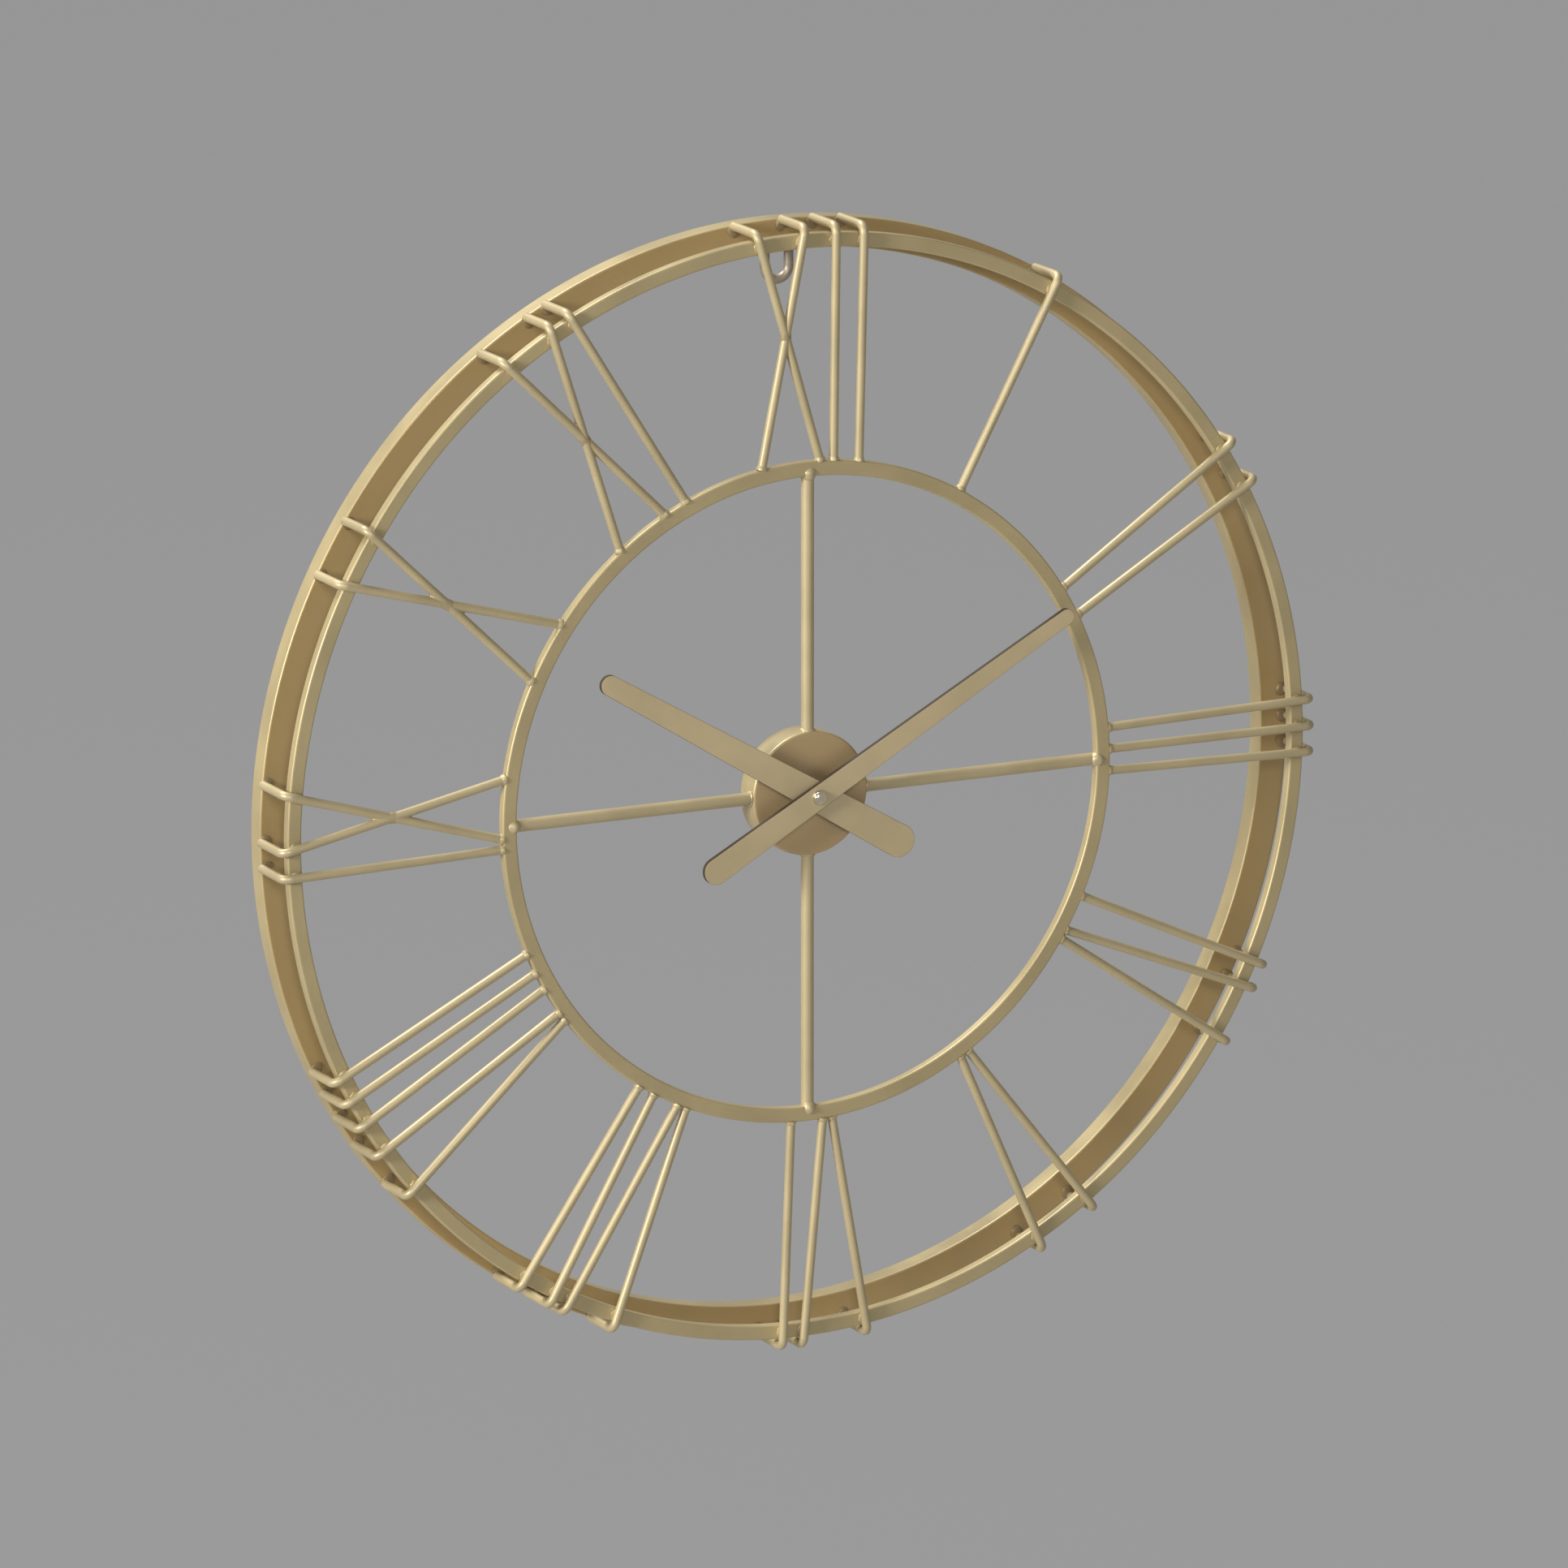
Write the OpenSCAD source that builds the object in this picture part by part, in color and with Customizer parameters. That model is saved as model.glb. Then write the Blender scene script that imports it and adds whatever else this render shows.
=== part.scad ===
// Open metal wall clock, 700 mm wide: three rings, twelve numerals of bent round bar,
// four spokes, a hub can with a quartz movement in it, and two hands.
// The piece modules work in the dial's frame: x to the right, y up, z away from the wall.
// Angles on the dial are clock angles: 0 at the top, growing clockwise.
// The whole part then stands with X to the right, Y into the wall and Z up.

/* [Rings] */
// Outer radius of the wide ring on the wall
back_ring_outer_r = 347.5; // [334:0.5:360]
// Width of the back ring, seen from the front
back_ring_w = 18.6; // [14:0.2:24]
// Depth of the back ring
back_ring_depth = 14; // [10:0.5:18]
// How far the front ring's outer wall stands in from the back ring's
front_ring_setback = 4.7; // [3:0.1:8]
// Width of the front ring
front_ring_w = 9; // [6:0.2:12]
// Depth of the front ring
front_ring_depth = 7; // [4:0.2:10]
// Distance from the wall to the front ring's front face
front_ring_front = 44; // [42:0.2:46]
// Outer radius of the ring at the numerals' feet
inner_ring_outer_r = 205; // [200:0.1:212]
// Width of the inner ring
inner_ring_w = 9.4; // [7:0.1:12]
// Depth of the inner ring
inner_ring_depth = 6.5; // [5.6:0.1:8]
// Distance from the wall to the inner ring's front face
inner_ring_front = 49.5; // [48.5:0.1:50.5]
// Rounding of the rings' edges
ring_edge_r = 1.2; // [0.4:0.1:2]

/* [Numeral bars] */
// Diameter of the bent bars
bar_d = 5.5; // [4:0.1:6.5]
// Bend radius on the bar's centre line
bar_bend_r = 5; // [4:0.5:9]
// Air between the front ring's outer wall and the bars' legs
leg_ring_gap = 1.65; // [1.2:0.05:2.4]
// How far the legs' ends stand in from the back ring's outer wall
leg_foot_setback = 0.3; // [0:0.1:2]

/* [Hanger] */
// Wire of the hanging loop
hanger_wire_d = 6; // [4:0.5:8]
// Inside width of the loop
hanger_inside_w = 10; // [7:0.5:16]
// Distance from the back ring's inner wall to the bottom of the loop's inside
hanger_drop = 17.6; // [12:0.2:26]

/* [Hub and spokes] */
// Diameter of the spokes
spoke_d = 7.9; // [5:0.1:8.4]
// Distance from the wall to the spokes' centre line
spoke_axis_gap = 45; // [43:0.1:45.4]
// Weld bead at a spoke's outer end
weld_bead_d = 10.4; // [9:0.1:13]
// Reach of the weld bead's centre over the inner ring
weld_bead_reach = 1.6; // [0.5:0.1:4]
// Outer diameter of the hub can
can_d = 77; // [76:0.5:96]
// Depth of the hub can
can_depth = 18; // [15:0.5:22]
// Sheet of the hub can
can_wall = 1.2; // [0.8:0.1:1.3]
// Rounding of the can's front edge
can_edge_r = 1.5; // [0.8:0.1:2.4]
// Distance from the wall to the can's front face
can_front = 49.5; // [49.2:0.1:50]

/* [Hands] */
// Clock angle of the minute hand at rest
minute_hand_angle = 60.6; // [0:0.1:360]
// Clock angle of the hour hand at rest
hour_hand_angle = 301; // [0:0.1:360]
// Axis to the minute hand's tip
minute_tip_reach = 198; // [150:1:230]
// Axis to the minute hand's tail
minute_tail_reach = 87; // [50:1:110]
// Width of the minute hand at its tip
minute_tip_w = 10; // [8:0.5:14]
// Width of the minute hand at its tail
minute_tail_w = 16.5; // [14:0.5:24]
// Axis to the hour hand's tip
hour_tip_reach = 166; // [120:1:185]
// Axis to the hour hand's tail
hour_tail_reach = 76; // [50:1:95]
// Width of the hour hand at its tip
hour_tip_w = 12.5; // [10:0.5:16]
// Width of the hour hand at its tail
hour_tail_w = 20.5; // [17:0.5:26]
// Sheet of the hands
hand_sheet = 0.8; // [0.5:0.1:1.2]
// Depth of the hands' folded sides
hand_fold_depth = 3.5; // [2:0.1:3.8]
// Diameter of the collars inside the hands
hand_collar_d = 9; // [7:0.2:10]
// Distance from the wall to the hour hand's front
hour_hand_front = 57.4; // [57:0.1:57.5]
// Distance from the wall to the minute hand's front
minute_hand_front = 61.4; // [61.3:0.1:62]
// Diameter of the cap nut
cap_nut_d = 9.5; // [7:0.1:12]
// Height of the cap nut
cap_nut_h = 3.6; // [2.8:0.1:5]

/* [Movement] */
// Side of the square movement case
case_side = 56; // [55.6:0.1:56.4]
// Corner radius of the case
case_corner_r = 8; // [7.6:0.1:9]
// Depth of the case
case_depth = 16; // [15.8:0.1:16.6]
// Side walls of the case
case_wall = 1.1; // [0.7:0.05:1.15]
// Front wall of the case
case_front_wall = 1; // [0.8:0.05:1.1]
// Thickness of the case's back
case_back_t = 1.2; // [0.8:0.1:1.3]
// Rubber washer between the case and the hub can
washer_t = 0.8; // [0.4:0.1:1]
// Diameter of the rubber washer
washer_d = 16; // [12:0.5:20]
// Thread of the fixing bush
bush_d = 8; // [7.2:0.1:9]
// Length of the bush in front of the hub can
bush_reach = 3.1; // [2.7:0.1:3.4]
// Fixing nut, across its flats
nut_flats = 11; // [10.4:0.1:14]
// Thickness of the fixing nut
nut_t = 2.4; // [1.5:0.1:2.6]
// Diameter of the hour wheel's pipe
pipe_d = 5.1; // [4.6:0.1:5.6]
// Diameter of the minute arbor in the pipe
arbor_d = 3.2; // [2.4:0.1:3.6]
// Diameter of the battery, size AA
battery_d = 14.2; // [13.8:0.1:14.4]
// Length of the battery with its nub
battery_len = 50.5; // [49:0.1:50.8]
// Diameter of the setting knob
knob_d = 11; // [8:0.5:15]
// Thickness of the setting knob
knob_t = 2.6; // [1.6:0.1:4]

/* [Hidden] */
$fn = 96;

// Fits
seat_gap = 0.3;
running_gap = 0.05;
cut_over = 1;

// Rings and bars
bar_r = bar_d / 2;
back_ring_inner_r = back_ring_outer_r - back_ring_w;
front_ring_outer_r = back_ring_outer_r - front_ring_setback;
inner_ring_inner_r = inner_ring_outer_r - inner_ring_w;
inner_ring_rear = inner_ring_front - inner_ring_depth;
bar_plane = front_ring_front + seat_gap + bar_r;
bar_corner_r = front_ring_outer_r + leg_ring_gap + bar_r;
leg_foot_r = back_ring_outer_r - leg_foot_setback;
leg_slope = (leg_foot_r - bar_corner_r) / (bar_plane - back_ring_depth);

// The bars of each numeral: clock angles at the inner ring and at the bend,
// counted from the numeral's own hour
bar_angles_1 = [[-0.1, -0.8]];
bar_angles_2 = [[-2.5, -3.2], [3.2, 1.6]];
bar_angles_3 = [[-5.4, -3.7], [-1.6, -0.9], [2.2, 1.8]];
bar_angles_4 = [[-5.5, -5.5], [0.95, -2.9], [2.65, 3.2]];
bar_angles_5 = [[-2.05, -4.7], [-0.35, 2.2]];
bar_angles_6 = [[-4.35, -6.7], [-2.65, 0.6], [3.4, 2.9]];
bar_angles_7 = [[-6.1, -7.6], [-4.4, -1.7], [0.7, 0.2], [3.9, 4.1]];
bar_angles_8 = [[-6.9, -9.4], [-5.2, -3.9], [0, -0.3], [3.3, 2.7], [7.1, 5.3]];
bar_angles_9 = [[-3.7, -2.7], [-1.9, 5.7], [8.3, -0.1]];
bar_angles_10 = [[-4.5, 3.1], [6.1, -2.8]];
bar_angles_11 = [[-7.9, 0.4], [2, -5.5], [6.3, 2.7]];
bar_angles_12 = [[-8.9, -0.4], [2, -5.7], [4.6, 3], [9.4, 6.1]];
// The bend is a little thicker than the bar, which runs into it
bend_swell = 0.1;
bend_overlap = 0.3;

// Straight sides of a hand start this far inside its round ends
side_step = 0.01;

// Hub
can_r = can_d / 2;
can_rear = can_front - can_depth;

// Case of the movement, measured from the wall
case_face = can_front - can_wall - washer_t;
case_inner_face = case_face - case_front_wall;
case_rear = case_face - case_depth;
case_back_face = case_rear + case_back_t;
case_inner_side = case_side - 2 * case_wall;
bush_front = can_front + bush_reach;
post_d = 2.2;

// Motion work: wheels between the hands, in teeth and tooth module
motion_module = 0.4;
cannon_teeth = 10;
minute_wheel_teeth = 30;
minute_pinion_teeth = 8;
hour_wheel_teeth = 32;
knob_teeth = 12;
wheel_t = 1;
wheel_layer_gap = 0.7;
pinion_over = 0.1;
minute_pinion_play = 0.3;
minute_post_d = 1.2;
arbor_thin_d = 1.6;
pivot_d = 0.9;
hour_wheel_front = case_inner_face - seat_gap - pinion_over;
hour_wheel_rear = hour_wheel_front - wheel_t;
minute_wheel_front = hour_wheel_rear - wheel_layer_gap;
minute_wheel_rear = minute_wheel_front - wheel_t;
motion_distance = motion_module * (cannon_teeth + minute_wheel_teeth) / 2;
knob_distance = motion_module * (knob_teeth + minute_wheel_teeth) / 2;
minute_wheel_at = [0, -motion_distance];
knob_at = [0, -motion_distance - knob_distance];
knob_stem_d = 2.4;
knob_grooves = 20;
knob_groove_r = 0.5;

// Going train, from the rotor down to the centre wheel
train_module = 0.22;
pinion_teeth = 8;
centre_teeth = 64;
third_teeth = 60;
seconds_teeth = 48;
intermediate_teeth = 40;
train_t = 0.6;
train_pinion_over = 0.3;
train_step = 2;
centre_hub_d = 3.2;
centre_hub_t = 1.8;
centre_wheel_front = 41.2;
third_at = [-6.6, 4.4];
seconds_at = [-9.5, 11.3];
intermediate_at = [-15.27, 13.45];
rotor_at = [-20.32, 15];
magnet_d = 4.4;
magnet_t = 2;
magnet_front = 42;

// Tooth form, as shares of the tooth pitch and of the tooth module
tooth_root_share = 0.25;
tooth_tip_share = 0.1;
tooth_depth_share = 1.2;
tooth_height_share = 0.75;

// Motor
stator_t = 0.8;
stator_front = 41.4;
stator_left = 26.4;
stator_right = 16.2;
stator_half_h = 20;
stator_yoke_top = 9.8;
stator_yoke_bottom = 4.6;
stator_limb_w = 2.4;
stator_limb_at = 22.9;
stator_return_w = 2.6;
rotor_hole_d = 5.2;
bobbin_flange_side = 7;
bobbin_flange_t = 0.8;
bobbin_tube_d = 4.2;
bobbin_slot_gap = 0.2;
winding_d = 6.6;
coil_half_len = 12;
coil_centre_y = -2.6;

// Circuit board
board_t = 0.8;
board_front = 44;
board_left = 26.2;
board_right = 8;
board_top = 21;
board_bottom = 26.4;
chip_d = 4;
chip_t = 0.9;
chip_x = -8;
crystal_d = 2;
crystal_len = 6;
crystal_x = -16;

// Battery and contacts
battery_x = 16.6;
battery_nub_d = 5.5;
battery_nub_h = 1.3;
battery_edge_r = 0.6;
contact_w = 11;
contact_h = 9;
contact_t = 0.4;
partition_x = 8.6;
partition_t = 0.6;

// The dial's frame, turned upright
module dial() rotate([90, 0, 0]) children();

// A point on the dial at a radius and a clock angle
function on_dial(r, angle) = [r * sin(angle), r * cos(angle)];

module rounded_rect(w, h, r) {
  translate([r, 0]) square([w - 2 * r, h]);
  translate([0, r]) square([w, h - 2 * r]);
  for (x = [r, w - r], y = [r, h - r]) translate([x, y]) circle(r = r);
}

module ring(outer_r, w, front, depth, edge_r)
  rotate_extrude() translate([outer_r - w, front - depth]) rounded_rect(w, depth, edge_r);

module tube(outer_d, inner_d, rear, front)
  translate([0, 0, rear]) difference() {
    cylinder(h = front - rear, d = outer_d);
    translate([0, 0, -cut_over]) cylinder(h = front - rear + 2 * cut_over, d = inner_d);
  }

module rod(d, rear, front) translate([0, 0, rear]) cylinder(h = front - rear, d = d);

// One bar: along the dial, round the bend, then back to the back ring's front face
module bent_bar(from_angle, to_angle) {
  start = on_dial(inner_ring_outer_r, from_angle);
  corner = on_dial(bar_corner_r, to_angle);
  run = corner - start;
  heading = atan2(run[1], run[0]);
  tilt = heading - (90 - to_angle);
  splay = atan(leg_slope / cos(tilt));
  straight = norm(run) - bar_bend_r * tan((90 - splay) / 2);
  leg_x = straight + bar_bend_r * cos(splay);
  leg_drop = bar_bend_r * (1 - sin(splay));
  foot_out = back_ring_depth + seat_gap + bar_r * abs(sin(splay));
  leg_len = (bar_plane - foot_out - leg_drop) / cos(splay);
  translate([start[0], start[1], bar_plane]) rotate([0, 0, heading]) {
    rotate([0, 90, 0]) cylinder(h = straight + bend_overlap, d = bar_d);
    translate([straight, 0, -bar_bend_r]) rotate([90, 0, 0]) rotate([0, 0, splay])
      rotate_extrude(angle = 90 - splay) translate([bar_bend_r, 0]) circle(d = bar_d + bend_swell);
    translate([leg_x, 0, -leg_drop]) rotate([0, 180 - splay, 0])
      translate([0, 0, -bend_overlap]) cylinder(h = leg_len + bend_overlap, d = bar_d);
  }
}

// Room for a bar that another one crosses
module bar_room(from_angle, to_angle) {
  start = on_dial(inner_ring_outer_r, from_angle);
  run = on_dial(bar_corner_r, to_angle) - start;
  translate([start[0], start[1], bar_plane]) rotate([0, 0, atan2(run[1], run[0])])
    rotate([0, 90, 0]) cylinder(h = norm(run), d = bar_d + 2 * seat_gap);
}

// A numeral: its bars, cut back to the inner ring's wall.
// In an X, the bar after the through one is cut and fitted against it.
module numeral(hour, bars, through = -1)
  color("BurlyWood") dial() difference() {
    for (i = [0 : len(bars) - 1]) difference() {
      bent_bar(30 * hour + bars[i][0], 30 * hour + bars[i][1]);
      if (through >= 0 && i == through + 1)
        bar_room(30 * hour + bars[through][0], 30 * hour + bars[through][1]);
    }
    rod(2 * (inner_ring_outer_r + seat_gap), bar_plane - bar_d, bar_plane + bar_d);
  }

module back_ring() color("Tan") dial()
  ring(back_ring_outer_r, back_ring_w, back_ring_depth, back_ring_depth, ring_edge_r);

module front_ring() color("BurlyWood") dial()
  ring(front_ring_outer_r, front_ring_w, front_ring_front, front_ring_depth, ring_edge_r);

module inner_ring() color("BurlyWood") dial()
  ring(inner_ring_outer_r, inner_ring_w, inner_ring_front, inner_ring_depth, ring_edge_r);

// A spoke from the can's wall to the inner ring, with its weld bead lapping the ring
module spoke(angle)
  color("Tan") dial() rotate([0, 0, -angle]) difference() {
    union() {
      translate([0, 0, spoke_axis_gap]) rotate([-90, 0, 0])
        cylinder(h = inner_ring_inner_r - seat_gap, d = spoke_d);
      translate([0, inner_ring_inner_r + weld_bead_reach, inner_ring_front - inner_ring_depth / 2])
        sphere(d = weld_bead_d);
    }
    rod(can_d + 2 * seat_gap, can_rear, can_front + cut_over);
    ring(inner_ring_outer_r + seat_gap, inner_ring_w + 2 * seat_gap,
      inner_ring_front + seat_gap, inner_ring_depth + 2 * seat_gap, ring_edge_r);
    translate([0, 0, inner_ring_rear - cut_over - weld_bead_d])
      tube(2 * (inner_ring_outer_r + weld_bead_d), 2 * (inner_ring_inner_r - seat_gap),
        0, weld_bead_d + 2 * cut_over);
  }

module hub_can() color("Peru") dial() difference() {
  rotate_extrude() {
    translate([0, can_rear]) square([can_r, can_depth - can_edge_r]);
    translate([0, can_rear]) square([can_r - can_edge_r, can_depth]);
    translate([can_r - can_edge_r, can_front - can_edge_r]) circle(r = can_edge_r);
  }
  rod(can_d - 2 * can_wall, can_rear - cut_over, can_front - can_wall);
  rod(bush_d + 2 * running_gap, can_rear, can_front + cut_over);
}

// A loop of wire that hangs below the back ring's inner wall
module hanger_loop() color("Gray") dial() {
  mid_r = (hanger_inside_w + hanger_wire_d) / 2;
  bend_y = back_ring_inner_r - hanger_drop + hanger_inside_w / 2;
  translate([0, bend_y, hanger_wire_d / 2]) {
    rotate([0, 0, 180]) rotate_extrude(angle = 180) translate([mid_r, 0]) circle(d = hanger_wire_d);
    difference() {
      for (side = [-1, 1]) translate([side * mid_r, 0, 0]) rotate([-90, 0, 0])
        cylinder(h = hanger_drop, d = hanger_wire_d);
      translate([0, -bend_y, -hanger_wire_d])
        tube(2 * back_ring_outer_r, 2 * (back_ring_inner_r - seat_gap), 0, 2 * hanger_wire_d);
    }
  }
}

// Outline of a hand along +y: two round ends, and straight sides that start just inside them
module hand_outline(tip, tail, tip_w, tail_w, inset) {
  tip_r = tip_w / 2 - inset;
  tail_r = tail_w / 2 - inset;
  tip_y = tip - tip_w / 2;
  tail_y = tail_w / 2 - tail;
  lean = asin((tail_r - tip_r) / (tip_y - tail_y));
  tip_x = (tip_r - side_step) * cos(lean);
  tail_x = (tail_r - side_step) * cos(lean);
  tip_side_y = tip_y + (tip_r - side_step) * sin(lean);
  tail_side_y = tail_y + (tail_r - side_step) * sin(lean);
  translate([0, tip_y]) circle(r = tip_r);
  translate([0, tail_y]) circle(r = tail_r);
  polygon([[-tail_x, tail_side_y], [-tip_x, tip_side_y], [tip_x, tip_side_y], [tail_x, tail_side_y]]);
}

// A hand of folded sheet, open at the back, with a collar for its shaft
module hand(angle, tip, tail, tip_w, tail_w, front, shaft_d, collar_rear)
  dial() rotate([0, 0, -angle]) difference() {
    union() {
      difference() {
        translate([0, 0, front - hand_fold_depth]) linear_extrude(hand_fold_depth)
          hand_outline(tip, tail, tip_w, tail_w, 0);
        translate([0, 0, front - hand_fold_depth - cut_over])
          linear_extrude(hand_fold_depth + cut_over - hand_sheet)
          hand_outline(tip, tail, tip_w, tail_w, hand_sheet);
      }
      rod(hand_collar_d, collar_rear, front - hand_sheet / 2);
    }
    rod(shaft_d, collar_rear - cut_over, front + cut_over);
  }

module hour_hand() color("Khaki")
  hand(hour_hand_angle, hour_tip_reach, hour_tail_reach, hour_tip_w, hour_tail_w,
    hour_hand_front, pipe_d, bush_front + 2 * seat_gap);

module minute_hand() color("Khaki")
  hand(minute_hand_angle, minute_tip_reach, minute_tail_reach, minute_tip_w, minute_tail_w,
    minute_hand_front, arbor_d, minute_hand_front - hand_fold_depth);

module cap_nut() color("Gold") dial() difference() {
  dome_h = cap_nut_h / 2;
  dome_r = (cap_nut_d * cap_nut_d / 4 + dome_h * dome_h) / (2 * dome_h);
  intersection() {
    rod(cap_nut_d, minute_hand_front, minute_hand_front + cap_nut_h);
    translate([0, 0, minute_hand_front + cap_nut_h - dome_r]) sphere(r = dome_r);
  }
  rod(arbor_d, minute_hand_front - cut_over, minute_hand_front + cap_nut_h / 2 + running_gap);
}

// Square with round corners, about the dial's axis
module square_plate(side, corner_r, rear, front)
  translate([-side / 2, -side / 2, rear]) linear_extrude(front - rear) rounded_rect(side, side, corner_r);

module case_front() color("DimGray") dial() {
  difference() {
    square_plate(case_side, case_corner_r, case_back_face, case_face);
    square_plate(case_inner_side, case_corner_r - case_wall, case_back_face - cut_over, case_inner_face);
    rod(bush_d + 2 * running_gap, case_inner_face - cut_over, case_face + cut_over);
  }
  // Wall beside the battery
  translate([partition_x, -case_inner_side / 2, case_back_face])
    cube([partition_t, case_inner_side, case_front_wall / 2 + case_inner_face - case_back_face]);
  // Posts for the stator, the board and the minute wheel
  for (p = [[rotor_at[0], stator_half_h - post_d / 2], [-stator_limb_at, post_d - stator_half_h]])
    translate(p) rod(post_d, stator_front + seat_gap, case_face - case_front_wall / 2);
  for (x = [post_d - board_left, board_right - post_d])
    translate([x, -(board_top + board_bottom) / 2, 0])
      rod(post_d, board_front + seat_gap, case_face - case_front_wall / 2);
  translate(minute_wheel_at) rod(minute_post_d, minute_wheel_rear - seat_gap, case_face - case_front_wall / 2);
}

module case_back() color("DimGray") dial() difference() {
  square_plate(case_side, case_corner_r, case_rear, case_back_face);
  translate([battery_x - battery_d / 2 - seat_gap, -battery_len / 2 - seat_gap - contact_t,
      case_rear - cut_over])
    cube([battery_d + 2 * seat_gap, battery_len + 2 * (seat_gap + contact_t), case_back_t + 2 * cut_over]);
  translate(knob_at) rod(knob_stem_d + 2 * running_gap, case_rear - cut_over, case_back_face + cut_over);
}

module threaded_bush() color("Goldenrod") dial()
  tube(bush_d, pipe_d + 2 * running_gap, case_inner_face, bush_front);

module rubber_washer() color("Black") dial()
  tube(washer_d, bush_d + 2 * running_gap, case_face, can_front - can_wall);

module fixing_nut() color("Goldenrod") dial() difference() {
  translate([0, 0, can_front]) cylinder(h = nut_t, d = nut_flats / cos(30), $fn = 6);
  rod(bush_d + 2 * running_gap, can_front - cut_over, can_front + nut_t + cut_over);
}

// Plate of the motor, with the rotor's hole and the limb that carries the coil
module stator() color("SlateGray") dial() difference() {
  translate([-stator_left, -stator_half_h, stator_front - stator_t])
    cube([stator_left - stator_right, 2 * stator_half_h, stator_t]);
  // Window and notch beside the limb
  translate([stator_limb_w / 2 - stator_limb_at, stator_yoke_bottom - stator_half_h,
      stator_front - stator_t - cut_over])
    cube([stator_limb_at - stator_limb_w / 2 - stator_right - stator_return_w,
      2 * stator_half_h - stator_yoke_bottom - stator_yoke_top, stator_t + 2 * cut_over]);
  translate([-stator_left - cut_over, stator_yoke_bottom - stator_half_h, stator_front - stator_t - cut_over])
    cube([stator_left - stator_limb_at - stator_limb_w / 2 + cut_over,
      2 * stator_half_h - stator_yoke_bottom - stator_yoke_top, stator_t + 2 * cut_over]);
  translate(rotor_at) rod(rotor_hole_d, stator_front - stator_t - cut_over, stator_front + cut_over);
}

// The coil stands along y round the stator's limb
module coil_place() translate([-stator_limb_at, coil_centre_y, stator_front - stator_t / 2])
  rotate([-90, 0, 0]) children();

module coil_bobbin() color("Ivory") dial() coil_place() difference() {
  union() {
    rod(bobbin_tube_d, -coil_half_len, coil_half_len);
    for (z = [-coil_half_len, coil_half_len - bobbin_flange_t])
      translate([-bobbin_flange_side / 2, -bobbin_flange_side / 2, z])
        cube([bobbin_flange_side, bobbin_flange_side, bobbin_flange_t]);
  }
  translate([-stator_limb_w / 2 - bobbin_slot_gap, -stator_t / 2 - bobbin_slot_gap, -coil_half_len - cut_over])
    cube([stator_limb_w + 2 * bobbin_slot_gap, stator_t + 2 * bobbin_slot_gap,
      2 * coil_half_len + 2 * cut_over]);
}

module coil_winding() color("Chocolate") dial() coil_place()
  tube(winding_d, bobbin_tube_d + 2 * running_gap, bobbin_flange_t - coil_half_len + running_gap,
    coil_half_len - bobbin_flange_t - running_gap);

// The board follows the case's round corner
module circuit_board() color("DarkGreen") dial() {
  intersection() {
    translate([-board_left, -board_bottom, board_front - board_t])
      cube([board_left + board_right, board_bottom - board_top, board_t]);
    square_plate(case_inner_side - 2 * seat_gap, case_corner_r - case_wall - seat_gap,
      board_front - 2 * board_t, board_front + board_t);
  }
  // Chip under its blob, and the quartz crystal
  translate([chip_x, -(board_top + board_bottom) / 2, 0])
    rod(chip_d, board_front - board_t - chip_t, board_front - board_t / 2);
  translate([crystal_x, -(board_top + board_bottom) / 2, board_front - board_t - crystal_d / 2 + running_gap])
    rotate([0, 90, 0]) rod(crystal_d, -crystal_len / 2, crystal_len / 2);
}

module battery() color("SteelBlue") dial()
  translate([battery_x, -battery_len / 2, case_inner_face - seat_gap - battery_d / 2]) rotate([-90, 0, 0]) {
    barrel_len = battery_len - battery_nub_h;
    rotate_extrude() {
      square([battery_d / 2 - battery_edge_r, barrel_len]);
      translate([0, battery_edge_r]) square([battery_d / 2, barrel_len - 2 * battery_edge_r]);
      for (y = [battery_edge_r, barrel_len - battery_edge_r])
        translate([battery_d / 2 - battery_edge_r, y]) circle(r = battery_edge_r);
    }
    rod(battery_nub_d, battery_edge_r, battery_len);
  }

module contact(side) color("Silver") dial()
  translate([battery_x - contact_w / 2,
      side * (battery_len / 2 + seat_gap) - (side < 0 ? contact_t : 0),
      case_inner_face - seat_gap - contact_h])
    cube([contact_w, contact_t, contact_h]);

module contact_positive() contact(1);

module contact_negative() contact(-1);

// Tooth outline: straight flanks between the root and the tip circles
function tooth_radius(teeth, m, at_tip) =
  m * teeth / 2 + m * (at_tip ? tooth_height_share : -tooth_depth_share);

module toothed(teeth, m, rear, front, turn = 0)
  translate([0, 0, rear]) rotate([0, 0, turn]) linear_extrude(front - rear) polygon([
    for (i = [0 : teeth - 1], k = [-tooth_root_share, -tooth_tip_share, tooth_tip_share, tooth_root_share])
      let (a = 360 * (i + k) / teeth,
        r = tooth_radius(teeth, m, abs(k) == tooth_tip_share))
        [r * cos(a), r * sin(a)]]);

// A turn that puts a tooth, or the gap between two, on the line towards a neighbour
function tooth_at(from, to) = atan2(to[1] - from[1], to[0] - from[0]);
function gap_at(from, to, teeth) = tooth_at(from, to) + 180 / teeth;

// A wheel with its pinion on one arbor
module train_wheel(at, teeth, wheel_front, pinion_front, pinion_len, wheel_turn, pinion_turn)
  translate(at) {
    toothed(teeth, train_module, wheel_front - train_t, wheel_front, wheel_turn);
    toothed(pinion_teeth, train_module, pinion_front - pinion_len, pinion_front, pinion_turn);
    rod(pivot_d, case_back_face + seat_gap, case_inner_face - seat_gap);
  }

third_wheel_front = centre_wheel_front - train_step;
seconds_wheel_front = third_wheel_front - train_step;
intermediate_wheel_front = seconds_wheel_front - train_step + seat_gap;
train_pinion_len = train_t + 2 * train_pinion_over;

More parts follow.
